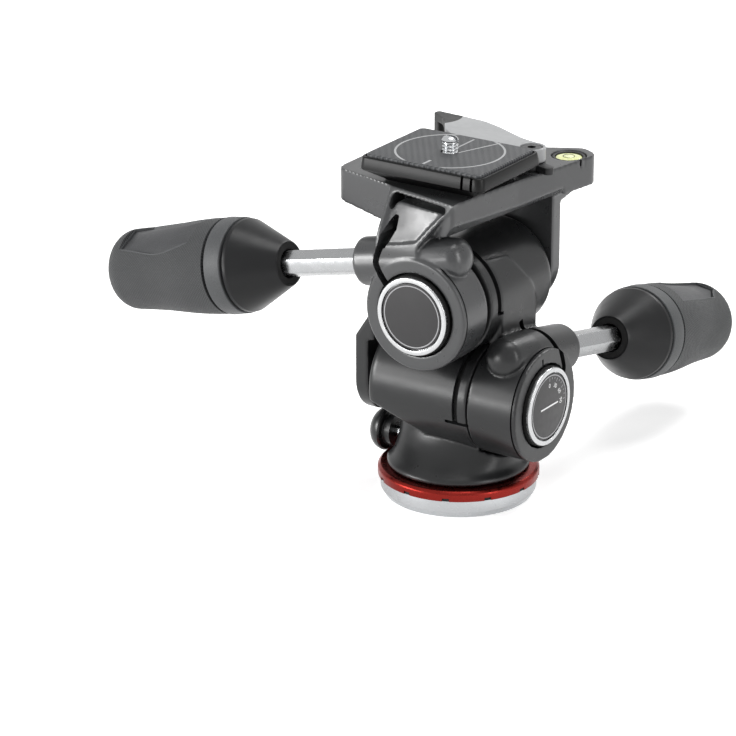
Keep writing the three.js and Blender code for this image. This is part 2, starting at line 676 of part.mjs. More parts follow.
function bossOutside() {
  const dome = arcPoints(0, 0, 1, 0, RIGHT_ANGLE, CLAMP.domeSteps).map(([across, along]) => [
    CLAMP.nutSideRadius * across, -CLAMP.domeFrom - CLAMP.domeRise * along,
  ]);
  const nutSide = revolved([[0, 0], [CLAMP.middleRadius, 0], ...dome], FACETS.medium);
  const handleSide = revolved([
    [0, 0], [CLAMP.middleRadius, 0], [CLAMP.handleSideRadius, CLAMP.fullFrom],
    [CLAMP.handleSideRadius, CLAMP.tubeEnd - CLAMP.mouthChamfer],
    [CLAMP.handleSideRadius - CLAMP.mouthChamfer, CLAMP.tubeEnd], [0, CLAMP.tubeEnd],
  ], FACETS.medium);
  return [nutSide, handleSide];
}

function bossHoles() {
  const nutEnd = CLAMP.nutFrom + CLAMP.nutLength + SEAT;
  return [
    rod(CLAMP.holeRadius, -nutEnd, CLAMP.tubeEnd, FACETS.small),
    rod(CLAMP.nutRadius + SEAT, -nutEnd, -CLAMP.nutFrom + SEAT, FACETS.medium),
    rod(CLAMP.mouthRadius, CLAMP.tubeEnd - CLAMP.mouthDepth, CLAMP.tubeEnd + OVER, FACETS.medium),
  ];
}

function buildClampNut() {
  return ring(CLAMP.holeRadius, CLAMP.nutRadius, -CLAMP.nutFrom - CLAMP.nutLength, -CLAMP.nutFrom,
    FACETS.medium);
}

// Bore of a clamp ring and the seat for its dial, along the barrel's own axis
function ringBore(seam, ringFace) {
  return [
    rod(HUB.radius + RUN, seam - OVER, ringFace + OVER, FACETS.large),
    rod(HUB.counterbore, ringFace - HUB.counterDepth, ringFace + OVER, FACETS.large),
  ];
}

// Mid bracket

const lowerRingBack = LOWER.coreRight + BARREL.seam;
const upperRingBack = UPPER.seamAt + BARREL.seam;

function shoulderOutline() {
  const outer = -ARM.inner - ARM.thick;
  const fillet = arcPoints(
    -ARM.inner + ARM.fillet, ARM.bridgeLow - ARM.fillet, ARM.fillet, Math.PI, RIGHT_ANGLE, ARM.filletSteps,
  );
  return [
    [outer, LOWER_AXIS], [-ARM.inner, LOWER_AXIS], ...fillet, [0, ARM.bridgeLow], [0, UPPER_AXIS],
    [-BARREL.radius, UPPER_AXIS], [-ARM.inner, ARM.shoulderHigh], [outer, ARM.shoulderLow],
  ];
}

function armOutline() {
  const round = arcPoints(0, LOWER_AXIS, ARM.half, Math.PI, FULL_TURN, FACETS.corner * 3);
  return [...round, [ARM.half, UPPER_AXIS], [-ARM.half, UPPER_AXIS]];
}

function buildMidBracket() {
  const outer = -ARM.inner - ARM.thick;
  const arm = common(
    sidePrism(armOutline(), outer - OVER, OVER),
    join(
      frontPrism(shoulderOutline(), -ARM.half, ARM.half),
      block([outer, -ARM.half, 0], [-ARM.inner, ARM.half, LOWER_AXIS]),
    ),
  );
  const behindSeam = block([outer - OVER, -UPPER.seamAt, ARM.bridgeLow], [OVER, BARREL.radius, UPPER_AXIS]);
  const belowShoulder = block([outer - OVER, -ARM.half, 0], [-ARM.inner + ARM.fillet, ARM.half, UPPER_AXIS]);
  const shapedArm = common(arm, join(behindSeam, belowShoulder));
  const upperCore = inHead(roundEndedBarrel(UPPER.seamAt, -UPPER.coreBack), upperBarrel);
  const riser = common(
    sidePrism([
      [-RISER.front, RISER.foot], [RISER.back, RISER.foot], [RISER.back, RISER.sideFrom],
      ...fromShares(RISER_SHARES, UPPER_AXIS),
      [-RISER.front, RISER.tip],
    ], 0, RISER.face),
    join(
      block([0, -RISER.front, RISER.foot], [RISER.face, RISER.back, UPPER_AXIS]),
      inHead(rod(RISER.face, -RISER.back, RISER.front, FACETS.large), upperBarrel),
    ),
  );
  const lowerRing = inHead(rod(BARREL.radius, lowerRingBack, LOWER.ringFace, FACETS.large), lowerBarrel);
  const bosses = bossOutside().map((shape) => common(
    inHead(shape, lowerClamp),
    block([lowerRingBack, -RISER.foot, 0], [LOWER.ringFace, RISER.foot, UPPER_AXIS]),
  ));
  const coreRelief = inHead(
    rod(BARREL.radius + BARREL.reliefGap, -ARM.inner, lowerRingBack, FACETS.large), lowerBarrel,
  );
  const ringBack = block([-BARREL.radius, -UPPER.seamAt - UPPER.ringFace, 0], [0, -UPPER.seamAt, UPPER_AXIS]);
  const ringSweep = common(
    ringBack, inHead(rod(BARREL.radius + BARREL.sweepGap, UPPER.seamAt, UPPER.ringFace, FACETS.large),
      upperBarrel),
  );
  const aboveRelief = cut(join(shapedArm, upperCore, riser), coreRelief);
  const body = cut(join(aboveRelief, lowerRing, ...bosses), ringSweep);
  const spindle = inHead(hubSpindle(UPPER.seamAt, UPPER.ringFace), upperBarrel);
  const grooveLow = UPPER.seamAt - UPPER_GROOVE.offset - GROOVE.width;
  const groove = inHead(toGeometry(halfGroove(grooveLow, UPPER_GROOVE.slotTurn, RIGHT_ANGLE)), upperBarrel);
  const slot = inHead(grooveSlot(
    UPPER.seamAt - UPPER_GROOVE.slotBack, UPPER.seamAt - UPPER_GROOVE.slotBack + UPPER_GROOVE.slotReach,
    UPPER_GROOVE.slotTurn,
  ), upperBarrel);
  const split = sidePrism(band(fromShares(LOWER_SPLIT_SHARES, LOWER_AXIS), CLAMP.split), lowerRingBack - OVER,
    LOWER.ringFace + OVER);
  const armPivotBore = inHead(rod(PIVOT.radius + SEAT, -ARM.inner - ARM.thick / 2, -ARM.inner + OVER,
    FACETS.medium),
    lowerBarrel);
  const armScrewHole = inHead(pivotScrewHole(-ARM.inner - ARM.thick), lowerBarrel);
  const legPivotBore = inHead(rod(PIVOT.radius + RUN, -UPPER.coreBack - OVER, -UPPER.coreBack + PIVOT.depth,
    FACETS.medium), upperBarrel);
  return cut(
    join(body, spindle),
    ...ringBore(lowerRingBack, LOWER.ringFace).map((shape) => inHead(shape, lowerBarrel)),
    ...bossHoles().map((shape) => inHead(shape, lowerClamp)),
    inHead(hubScrewHole(UPPER.ringFace), upperBarrel),
    groove, slot, split, armPivotBore, armScrewHole, legPivotBore,
  );
}

// Hole for a pivot's screw: head sunk in the outer face, shank through to the pin
function pivotScrewHole(outerFace) {
  const head = PIVOT.headHeight + SEAT;
  return revolved([
    [0, outerFace - OVER], [PIVOT.headRadius + SEAT, outerFace - OVER],
    [PIVOT.headRadius + SEAT, outerFace + head],
    [PIVOT.screwRadius + SEAT, outerFace + head], [PIVOT.screwRadius + SEAT, outerFace + PIVOT.screwLength],
    [0, outerFace + PIVOT.screwLength],
  ], FACETS.small);
}

// Pivot pin seated half way into its arm and running in the barrel, along the barrel's own axis
function buildPivotPin(armOuter, armInner, coreEnd) {
  const seatEnd = (armOuter + armInner) / 2 + SEAT;
  const tip = coreEnd + PIVOT.depth - SEAT;
  const pin = rod(PIVOT.radius, seatEnd, tip, FACETS.medium);
  const hole = rod(PIVOT.screwRadius + SEAT, seatEnd - OVER, armOuter + PIVOT.screwLength + SEAT,
    FACETS.small);
  return cut(pin, hole);
}

function buildPivotScrew(armOuter) {
  const headLow = armOuter + SEAT;
  const headHigh = headLow + PIVOT.headHeight - SEAT;
  return revolved([
    [0, headLow], [PIVOT.headRadius, headLow], [PIVOT.headRadius, headHigh], [PIVOT.screwRadius, headHigh],
    [PIVOT.screwRadius, armOuter + PIVOT.screwLength - SEAT], [0, armOuter + PIVOT.screwLength - SEAT],
  ], FACETS.small);
}

const armOuter = -ARM.inner - ARM.thick;
const legOuter = -LEG.front - LEG.thick;

piece("mid_bracket", buildMidBracket(), "anthracite");
piece("arm_pivot_pin", buildPivotPin(armOuter, -ARM.inner, LOWER.coreLeft), "steel", lowerBarrel);
piece("arm_pivot_screw", buildPivotScrew(armOuter), "steel", lowerBarrel);
piece("tilt_clamp_nut", buildClampNut(), "brass", lowerClamp);
buildDialStack("side", UPPER.ringFace, UPPER.dialFace, upperBarrel);

// Camera platform

function platformPlan() {
  const p = PLATFORM_PLAN;
  const corner = new THREE.QuadraticBezierCurve(
    new THREE.Vector2(...p.rightFar), new THREE.Vector2(p.rightFar[0], p.backRight[1]),
    new THREE.Vector2(...p.backRight),
  ).getPoints(FACETS.corner).map(({ x, y }) => [x, y]);
  const left = roundedCorner([p.backLeft[0], p.backLeft[1]], [p.leftX, p.backLeft[1]],
    [p.leftX, p.leftFrontY],
    PLATFORM.cornerRound);
  const front = roundedCorner([p.leftX, p.backLeft[1]], [p.leftX, p.leftFrontY], [p.webLeftX, p.webLeftY],
    PLATFORM.cornerRound);
  return [
    [p.webLeftX, p.webLeftY], [p.frontX, p.frontY], p.rightA, p.rightB, p.rightC, ...corner,
    p.backMid, p.backLeft, ...left, ...front,
  ];
}

// A corner of an outline, rounded between two neighbours
function roundedCorner(before, at, after, radius) {
  const middle = new THREE.Vector2(...at);
  const start = new THREE.Vector2(...before).sub(middle).setLength(radius).add(middle);
  const end = new THREE.Vector2(...after).sub(middle).setLength(radius).add(middle);
  const curve = new THREE.QuadraticBezierCurve(start, middle, end);
  return curve.getPoints(FACETS.corner).map(({ x, y }) => [x, y]);
}

// Side view of the platform with its arch over the upper barrel
function platformSide() {
  const far = PLATFORM_PLAN.backRight[1] + OVER;
  const arch = new THREE.SplineCurve([
    new THREE.Vector2(-upperRingBack, ARCH.startZ), new THREE.Vector2(ARCH.springY, ARCH.springZ),
    new THREE.Vector2(ARCH.crownFrontY, ARCH.crownZ), new THREE.Vector2(ARCH.crownBackY, ARCH.crownBackZ),
  ]).getPoints(FACETS.corner * 2).map(({ x, y }) => [x, y]);
  return [
    [WEB.lowFront - OVER, ARCH.startZ - OVER], [-upperRingBack, ARCH.startZ - OVER], ...arch,
    [far, ARCH.crownBackZ], [far, PLATFORM.top], [WEB.lowFront - OVER, PLATFORM.top],
  ];
}

// Front view of the platform: thick at the left, its underside rising to the web
function platformFront() {
  const right = PLATFORM_PLAN.rightFar[0] + OVER;
  const left = PLATFORM_PLAN.leftX - OVER;
  return [
    [left, PLATFORM.low], [WEB.left, PLATFORM.low - PLATFORM.leftDrop], [0, PLATFORM.low - PLATFORM.leftDrop],
    [PLATFORM_PLAN.frontX, PLATFORM.low], [right, PLATFORM.low], [right, PLATFORM.top], [left, PLATFORM.top],
  ];
}

// Wedge that thins the platform towards its right hand edge
function rightBevel() {
  const p = PLATFORM_PLAN;
  const along = new THREE.Vector2(p.rightFar[0] - p.frontX, p.rightFar[1] - p.frontY);
  const wall = PLATFORM.top - PLATFORM.wallHeight;
  const drop = ((wall - PLATFORM.bevelLow) * OVER) / PLATFORM.bevelIn;
  const low = PLATFORM.bevelLow - drop - OVER;
  const outline = [
    [-PLATFORM.bevelIn - OVER, low], [PLATFORM.bevelIn, low], [PLATFORM.bevelIn, wall], [0, wall],
    [-PLATFORM.bevelIn - OVER, PLATFORM.bevelLow - drop],
  ];
  const length = along.length();
  return frontPrism(outline, -length, length * PLATFORM.bevelShare)
    .rotateZ(-Math.atan2(along.x, along.y)).translate(p.frontX, p.frontY, 0);
}

// Upright web in front, from the ring up to the platform's front edge
function buildWeb() {
  const curve = new THREE.QuadraticBezierCurve(
    new THREE.Vector2(WEB.curveX, WEB.curveZ), new THREE.Vector2(WEB.curveX / 2, WEB.bottomZ + OVER),
    new THREE.Vector2(WEB.bottomRight, WEB.bottomZ),
  ).getPoints(WEB.curveSteps).map(({ x, y }) => [x, y]);
  const face = frontPrism([
    [WEB.left, webFoot], [WEB.left, PLATFORM.top], [WEB.curveX, PLATFORM.top], ...curve,
    [WEB.bottomRight, webFoot],
  ], WEB.lowFront - OVER, WEB.back);
  const lean = loft([
    { height: webFoot, outline: [[WEB.left - OVER, WEB.lowFront], [WEB.curveX, WEB.lowFront],
      [WEB.curveX, -upperRingBack],
      [WEB.left - OVER, -upperRingBack]] },
    { height: WEB.bottomZ, outline: [[WEB.left - OVER, WEB.lowFront], [WEB.curveX, WEB.lowFront],
      [WEB.curveX, ARCH.springY], [WEB.left - OVER, ARCH.springY]] },
    { height: PLATFORM.top, outline: [[WEB.left - OVER, WEB.topLeftFront], [WEB.curveX, WEB.topFront],
      [WEB.curveX, WEB.back], [WEB.left - OVER, WEB.back]] },
  ]);
  const side = sidePrism([...platformSide(), [WEB.lowFront - OVER, webFoot], [-upperRingBack, webFoot]]
    .filter(([y, z]) => z !== ARCH.startZ - OVER || y > WEB.lowFront), WEB.left - OVER, WEB.curveX + OVER);
  return common(face, lean, side);
}

function buildLeg() {
  const round = arcPoints(0, LEG.roundAt, LEG.half, Math.PI, FULL_TURN, FACETS.corner * 3);
  const outline = [...round, [LEG.half, PLATFORM.top - PLATFORM.wallHeight],
    [-LEG.half, PLATFORM.top - OVER]];
  return frontPrism(outline, LEG.front, LEG.front + LEG.thick);
}

// Wedge under the platform behind the leg
function buildHeel() {
  const far = PLATFORM_PLAN.backRight[1];
  const high = PLATFORM.top - PLATFORM.wallHeight;
  const outline = [
    [LEG.front, high], [LEG.front, PLATFORM.low], [LEG.front + LEG.thick, LEG.heelLow], [far, PLATFORM.low],
    [far, high],
  ];
  return common(sidePrism(outline, -LEG.half, LEG.half), prism(platformPlan(), LEG.heelLow, PLATFORM.top));
}

function buildPlatformBracket() {
  const slab = cut(common(
    prism(platformPlan(), PLATFORM.low - PLATFORM.leftDrop - OVER, PLATFORM.top),
    frontPrism(platformFront(), -UPPER_AXIS, UPPER_AXIS),
    sidePrism(platformSide(), PLATFORM_PLAN.leftX - OVER, PLATFORM_PLAN.rightFar[0] + OVER),
  ), rightBevel());
  const clampRing = inHead(revolved([
    [0, upperRingBack], [BARREL.radius - UPPER.backChamferIn, upperRingBack],
    [BARREL.radius, upperRingBack + UPPER.backChamferAlong], [BARREL.radius, UPPER.ringFace],
    [0, UPPER.ringFace],
  ], FACETS.large), upperBarrel);
  const bosses = bossOutside().map((shape) => common(
    inHead(shape, upperClamp),
    block([-RISER.foot, -UPPER.ringFace, 0], [RISER.foot, -upperRingBack, PLATFORM.top]),
  ));
  const coreSweep = inHead(
    rod(BARREL.radius + BARREL.sweepGap, -LEG.front, upperRingBack, FACETS.large), upperBarrel,
  );
  const body = cut(join(slab, buildWeb(), clampRing, ...bosses, buildLeg(), buildHeel()), coreSweep);
  const ringFront = -UPPER.ringFace - OVER;
  const ringEnd = -upperRingBack + OVER;
  const split = frontPrism(band(fromShares(UPPER_SPLIT_SHARES, UPPER_AXIS), CLAMP.split), ringFront, ringEnd);
  const leaf = frontPrism(fromShares(LEAF_SHARES, UPPER_AXIS), ringFront, ringEnd);
  const legPivotBore = inHead(rod(PIVOT.radius + SEAT, -LEG.front - LEG.thick / 2, -LEG.front + OVER,
    FACETS.medium),
    upperBarrel);
  const window = prism(roundedRectangle(0, 0, WINDOW.right - WINDOW.left, WINDOW.wide,
    WINDOW.wide / 2 - SEAT),
    PLATFORM.top - WINDOW.deep, PLATFORM.top + OVER)
    .rotateZ(WINDOW.turn).translate((WINDOW.left + WINDOW.right) / 2, WINDOW.front + WINDOW.wide, 0);
  const lip = block([LIP.left, LIP.front, PLATFORM.top - LIP.deep],
    [LIP.right, LIP.back, PLATFORM.top + OVER]);
  const levelRecess = rod(LEVEL.recess, PLATFORM.top - LEVEL.recessDepth, PLATFORM.top + OVER, FACETS.medium)
    .translate(LEVEL.x, LEVEL.y, 0);
  const leverHole = rod(LEVER_SCREW.radius + SEAT, leverHubLow - LEVER_SCREW.length, PLATFORM.top + OVER,
    FACETS.small)
    .translate(LEVER.x, LEVER.y, 0);
  const triggerHole = revolved([
    [0, ARCH.crownZ - OVER], [TRIGGER.radius + RUN, ARCH.crownZ - OVER],
    [TRIGGER.radius + RUN, triggerHeadLow - TRIGGER.travel - RUN],
    [TRIGGER.headRadius + RUN, triggerHeadLow - TRIGGER.travel - RUN],
    [TRIGGER.headRadius + RUN, PLATFORM.top + OVER],
    [0, PLATFORM.top + OVER],
  ], FACETS.small).translate(TRIGGER.x, TRIGGER.y, 0);
  return cut(
    body,
    ...ringBore(upperRingBack, UPPER.ringFace).map((shape) => inHead(shape, upperBarrel)),
    ...bossHoles().map((shape) => inHead(shape, upperClamp)),
    split, leaf, legPivotBore, inHead(pivotScrewHole(legOuter), upperBarrel),
    window, lip, levelRecess, leverHole, triggerHole,
  );
}

// Heights stacked on the platform

const plateLow = PLATFORM.top + PLATE.lift;
const plateTop = plateLow + PLATE.topRise;
const padTop = plateTop + PLATE.padHeight;
const leverHubLow = PLATFORM.top + SEAT + CATCH.height + RUN;
const triggerHeadLow = plateLow - SEAT - TRIGGER.headHeight;

piece("platform_bracket", buildPlatformBracket(), "platformGrey");
piece("leg_pivot_pin", buildPivotPin(legOuter, -LEG.front, -UPPER.coreBack), "steel", upperBarrel);
piece("leg_pivot_screw", buildPivotScrew(legOuter), "steel", upperBarrel);
piece("side_clamp_nut", buildClampNut(), "brass", upperClamp);

// Bubble level

function buildLevel() {
  const floor = PLATFORM.top - LEVEL.recessDepth + SEAT;
  const cupTop = floor + LEVEL.cupHeight;
  const cupFloor = floor + SEAT;
  const cup = revolved([
    [0, floor], [LEVEL.cupRadius, floor], [LEVEL.cupRadius, cupTop], [LEVEL.cupBore, cupTop],
    [LEVEL.cupBore, cupFloor], [0, cupFloor],
  ], FACETS.medium);
  const low = cupFloor + TOUCH;
  const vial = revolved([
    [0, low], [LEVEL.vialRadius, low], [LEVEL.vialRadius, low + LEVEL.vialHeight - LEVEL.vialDome],
    [LEVEL.vialRadius / 2, low + LEVEL.vialHeight - LEVEL.vialDome / 4], [0, low + LEVEL.vialHeight],
  ], FACETS.medium);
  piece("level_cup", cup, "blackPlastic").position.set(LEVEL.x, LEVEL.y, 0);
  piece("level_vial", vial, "vial").position.set(LEVEL.x, LEVEL.y, 0);
}

buildLevel();

// Quick release plate

function plateOutline(width, depth, corner) {
  return roundedRectangle(PLATE.x, PLATE.y, width, depth, corner);
}

const screwHeadHigh = plateLow + CAMERA_SCREW.pocketDepth;
const screwHeadLow = screwHeadHigh - CAMERA_SCREW.headHeight;

function buildPlateBody() {
  const wide = plateLow + PLATE.wideRise;
  const body = loft([
    { height: plateLow, outline: plateOutline(PLATE.footX, PLATE.footY, PLATE.footCorner) },
    { height: wide, outline: plateOutline(PLATE.wideX, PLATE.wideY, PLATE.corner) },
    { height: wide + PLATE.wideBand, outline: plateOutline(PLATE.wideX, PLATE.wideY, PLATE.corner) },
    { height: plateTop, outline: plateOutline(PLATE.topX, PLATE.topY, PLATE.corner) },
  ]);
  const pocket = rod(CAMERA_SCREW.pocket, plateLow - OVER, screwHeadHigh + SEAT, FACETS.medium)
    .translate(PLATE.x, PLATE.y, 0);
  const hole = rod(CAMERA_SCREW.radius + RUN, plateLow, plateTop + OVER, FACETS.small)
    .translate(PLATE.x, PLATE.y, 0);
  const notches = [PLATE.notchAt, PLATE.notchAt * 2].map((back) => {
    const x = PLATE.x + PLATE.wideX / 2 - back - PLATE.notch;
    const front = PLATE.y - PLATE.wideY / 2;
    return block([x, front - OVER, plateLow + PLATE.wideRise - OVER],
      [x + PLATE.notch, front + PLATE.notchIn, plateTop + OVER]);
  });
  return cut(body, pocket, hole, ...notches);
}

function buildPlatePad() {
  const pad = loft([
    { height: plateTop, outline: plateOutline(PLATE.padX, PLATE.padY, PLATE.footCorner) },
    { height: padTop, outline: plateOutline(PLATE.padX - PLATE.padHeight, PLATE.padY - PLATE.padHeight,
      PLATE.footCorner) },
  ]);
  const hole = rod(CAMERA_SCREW.radius + RUN, plateTop - OVER, padTop + OVER, FACETS.small)
    .translate(PLATE.x, PLATE.y, 0);
  return cut(pad, hole);
}

function buildCameraScrew() {
  const top = padTop + CAMERA_SCREW.above;
  const { radius, headRadius, tipChamfer } = CAMERA_SCREW;
  const body = revolved([
    [0, screwHeadLow], [headRadius, screwHeadLow], [headRadius, screwHeadHigh], [radius, screwHeadHigh],
    [radius, top - tipChamfer], [radius - tipChamfer, top], [0, top],
  ], FACETS.small);
  const slot = block([-headRadius - OVER, -CAMERA_SCREW.slotWidth / 2, screwHeadLow - OVER],
    [headRadius + OVER, CAMERA_SCREW.slotWidth / 2, screwHeadLow + CAMERA_SCREW.slotDepth / 2]);
  const tipSlot = block([-radius - OVER, -CAMERA_SCREW.slotWidth / 2, top - CAMERA_SCREW.slotDepth],
    [radius + OVER, CAMERA_SCREW.slotWidth / 2, top + OVER]);
  return cut(body, slot, tipSlot);
}

// Wire ring folded flat under the screw's head
function buildFoldRing() {
  const high = screwHeadLow - SEAT;
  return ring(FOLD_RING.half - FOLD_RING.wire * 2, FOLD_RING.half, high - FOLD_RING.drop, high,
    FACETS.medium);
}

piece("plate_body", buildPlateBody(), "blackPlastic");
piece("plate_pad", buildPlatePad(), "rubber");
piece("camera_screw", buildCameraScrew(), "steel").position.set(PLATE.x, PLATE.y, 0);
piece("screw_fold_ring", buildFoldRing(), "steel").position.set(PLATE.x, PLATE.y, 0);

// Quick release lever

function besidePlate(shares) {
  return shares.map(([across, along]) => [PLATE.x + PLATE.wideX * across, PLATE.y + PLATE.wideY * along]);
}

function buildLever() {
  const bladeLow = LEVER.bladeTop - LEVER.bladeThick;
  const blade = prism(besidePlate(LEVER_SHARES), bladeLow, LEVER.bladeTop);
  const hub = rod(LEVER.hubRadius, leverHubLow, LEVER.bladeTop, FACETS.medium).translate(LEVER.x, LEVER.y, 0);
  const tab = prism(besidePlate(TAB_SHARES), LEVER.tabLow, LEVER.bladeTop);
  const head = LEVER_SCREW.headHeight + SEAT;
  const hole = revolved([
    [0, leverHubLow - OVER], [LEVER_SCREW.radius + RUN, leverHubLow - OVER],
    [LEVER_SCREW.radius + RUN, LEVER.bladeTop - head], [LEVER_SCREW.headRadius + RUN, LEVER.bladeTop - head],
    [LEVER_SCREW.headRadius + RUN, LEVER.bladeTop + OVER], [0, LEVER.bladeTop + OVER],
  ], FACETS.medium).translate(LEVER.x, LEVER.y, 0);
  return cut(join(blade, hub, tab), hole);
}

function buildLeverScrew() {
  const top = LEVER.bladeTop - SEAT;
  const under = top - LEVER_SCREW.headHeight + SEAT;
  const tip = leverHubLow - LEVER_SCREW.length + SEAT;
  return revolved([
    [0, tip], [LEVER_SCREW.radius, tip], [LEVER_SCREW.radius, under], [LEVER_SCREW.headRadius, under],
    [LEVER_SCREW.headRadius, top], [0, top],
  ], FACETS.medium);
}

// Small catch that turns about the lever's screw, under its hub
function buildCatch() {
  const low = PLATFORM.top + SEAT;
  const high = low + CATCH.height;
  const arm = join(
    rod(CATCH.radius, low, high, FACETS.medium),
    block([0, -CATCH.armWidth / 2, low], [CATCH.armLength, CATCH.armWidth / 2, high]),
    rod(CATCH.tipRadius, low, high, FACETS.small).translate(CATCH.armLength, 0, 0),
  );
  const hole = rod(LEVER_SCREW.radius + RUN, low - OVER, high + OVER, FACETS.small);
  return cut(arm, hole);
}

piece("quick_release_lever", buildLever(), "leverGrey");
piece("lever_pivot_screw", buildLeverScrew(), "steel").position.set(LEVER.x, LEVER.y, 0);
const safetyCatch = piece("safety_catch", buildCatch(), "blackPlastic");
safetyCatch.position.set(LEVER.x, LEVER.y, 0);
safetyCatch.rotation.z = CATCH.turn;

function buildTrigger() {
  const high = triggerHeadLow + TRIGGER.headHeight;
  return revolved([
    [0, high - TRIGGER.length], [TRIGGER.radius, high - TRIGGER.length], [TRIGGER.radius, triggerHeadLow],
    [TRIGGER.headRadius, triggerHeadLow], [TRIGGER.headRadius, high], [0, high],
  ], FACETS.small);
}

piece("trigger_pin", buildTrigger(), "brass").position.set(TRIGGER.x, TRIGGER.y, 0);

// Handles, along the clamp's own axis

function buildRod() {
  const hex = prism(hexagon(ROD.across), ROD.hexFrom, ROD.hexTo);
  const thread = rod(ROD.threadRadius, ROD.threadFrom, ROD.hexFrom + OVER, FACETS.small);
  const endHole = rod(ROD.endScrewRadius + SEAT, ROD.hexTo - ROD.endScrewDepth, ROD.hexTo + OVER,
    FACETS.small);
  return cut(join(hex, thread), endHole);
}

function buildRodWasher() {
  const high = ROD.hexFrom - SEAT;
  return ring(ROD.threadRadius + SEAT, ROD.washer, high - ROD.washerThick, high, FACETS.medium);
}

// Stop washer with its screw head on the rod's end, which keeps the grip on the rod
function buildStop() {
  const low = ROD.hexTo + SEAT;
  const high = low + STOP.thickness;
  const depth = ROD.endScrewDepth - SEAT * 2;
  return revolved([
    [0, low - depth], [ROD.endScrewRadius, low - depth], [ROD.endScrewRadius, low], [STOP.radius, low],
    [STOP.radius, high], [STOP.screwHeadRadius, high], [STOP.screwHeadRadius, high + STOP.screwHeadHeight],
    [0, high + STOP.screwHeadHeight],
  ], FACETS.medium);
}

const sleeveRadius = GRIP.bore + GRIP.sleeveWall;
const sleeveLow = GRIP.mouth + GRIP.mouthBoreDepth;

function buildSleeve() {
  const neckEnd = sleeveLow + GRIP.neckLength;
  const outside = revolved([
    [0, sleeveLow], [sleeveRadius, sleeveLow], [sleeveRadius, GRIP.boreEnd], [GRIP.bore, GRIP.boreEnd],
    [GRIP.bore, neckEnd], [0, neckEnd],
  ], FACETS.medium);
  return cut(outside, prism(hexagon(ROD.across + GRIP.hexPlay), sleeveLow - OVER, neckEnd + OVER));
}

// Conical collar from its mouth to the seam, hollow round the sleeve
function buildCollar() {
  const collarRadius = GRIP.radius - GRIP.collarStep;
  const inner = sleeveRadius + SEAT;
  const step = sleeveLow - SEAT;
  return revolved([
    [GRIP.mouthBore, GRIP.mouth], [GRIP.mouthRadius, GRIP.mouth],
    [collarRadius, GRIP.seam - GRIP.collarEdge], [collarRadius, GRIP.seam],
    [inner, GRIP.seam], [inner, step], [GRIP.mouthBore, step], [GRIP.mouthBore, GRIP.mouth],
  ], FACETS.medium);
}

// Rubber grip with a plain band, a slight swell, a gentle taper, a round end and a flat for the thumb
function buildGrip() {
  const low = GRIP.seam + GRIP.seamGap;
  const bandEnd = low + GRIP.bandWidth;
  const widest = GRIP.radius + GRIP.swell;
  const roundFrom = GRIP.end - GRIP.endRound;
  const round = arcPoints(0, 0, 1, 0, RIGHT_ANGLE, GRIP.roundSteps).map(([across, along]) => [
    GRIP.endRadius - GRIP.endRound + GRIP.endRound * across, roundFrom + GRIP.endRound * along,
  ]);
  const inner = sleeveRadius + SEAT;
  const outside = revolved([
    [inner, low], [GRIP.radius, low], [widest, bandEnd], [widest - GRIP.bandStep, bandEnd + GRIP.bandStep],
    ...round, [0, GRIP.end], [0, GRIP.boreEnd + SEAT], [inner, GRIP.boreEnd + SEAT], [inner, low],
  ], FACETS.medium);
  const pad = loft([
    { height: GRIP.padFrom, outline: padSection(widest - GRIP.bandStep - GRIP.padDepth) },
    { height: GRIP.padTo, outline: padSection(GRIP.endRadius - GRIP.padDepth) },
  ]);
  return cut(outside, pad);
}

// Section of the cutter for the thumb's flat, which lies at a given distance from the grip's axis
function padSection(distance) {
  const half = GRIP.padWidth / 2;
  return [[distance, -half], [distance + GRIP.padWidth, -half], [distance + GRIP.padWidth, half],
    [distance, half]];
}

function buildHandle(prefix, clamp, { out, padTurn }) {
  piece(`${prefix}_rod`, buildRod(), "steel", clamp);
  piece(`${prefix}_rod_washer`, buildRodWasher(), "nylon", clamp);
  piece(`${prefix}_rod_stop`, buildStop(), "steel", clamp);
  piece(`${prefix}_grip_sleeve`, buildSleeve(), "blackPlastic", clamp).position.z = out;
  piece(`${prefix}_grip_collar`, buildCollar(), "anthracite", clamp).position.z = out;
  const grip = piece(`${prefix}_grip`, buildGrip(), "rubber", clamp);
  grip.position.z = out;
  grip.rotation.z = padTurn;
}

buildHandle("tilt", lowerClamp, TILT_GRIP);
buildHandle("side", upperClamp, SIDE_GRIP);

export default head;
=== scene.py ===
"""Three way pan tilt head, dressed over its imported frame.

Lengths are in millimetres inside each sub-assembly and become metres when a piece is placed. Every
sub-assembly is a class: its fields are its sizes, and its build method makes the pieces, dresses them
and puts them on their bodies.
"""

import logging
import math
from collections.abc import Iterable, Sequence
from dataclasses import dataclass, field
from enum import Enum

import bmesh
import bpy
from mathutils import Matrix, Vector


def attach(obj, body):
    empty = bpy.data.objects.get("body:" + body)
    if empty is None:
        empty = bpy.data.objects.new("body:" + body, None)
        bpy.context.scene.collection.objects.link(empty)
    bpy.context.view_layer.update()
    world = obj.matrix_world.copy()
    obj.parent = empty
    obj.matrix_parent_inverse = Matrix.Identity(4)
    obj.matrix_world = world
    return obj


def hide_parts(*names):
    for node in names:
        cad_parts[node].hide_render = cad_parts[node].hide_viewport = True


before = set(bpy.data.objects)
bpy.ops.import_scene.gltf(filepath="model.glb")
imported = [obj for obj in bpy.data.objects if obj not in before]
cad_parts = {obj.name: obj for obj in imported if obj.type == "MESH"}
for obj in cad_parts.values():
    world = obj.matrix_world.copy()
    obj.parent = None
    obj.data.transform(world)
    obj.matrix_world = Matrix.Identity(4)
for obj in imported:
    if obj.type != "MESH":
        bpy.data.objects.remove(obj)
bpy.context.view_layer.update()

MM = 0.001
TURN = 2 * math.pi
RIGHT_ANGLE = math.pi / 2
LOWER_AXIS = 42.4
UPPER_AXIS = 80.4
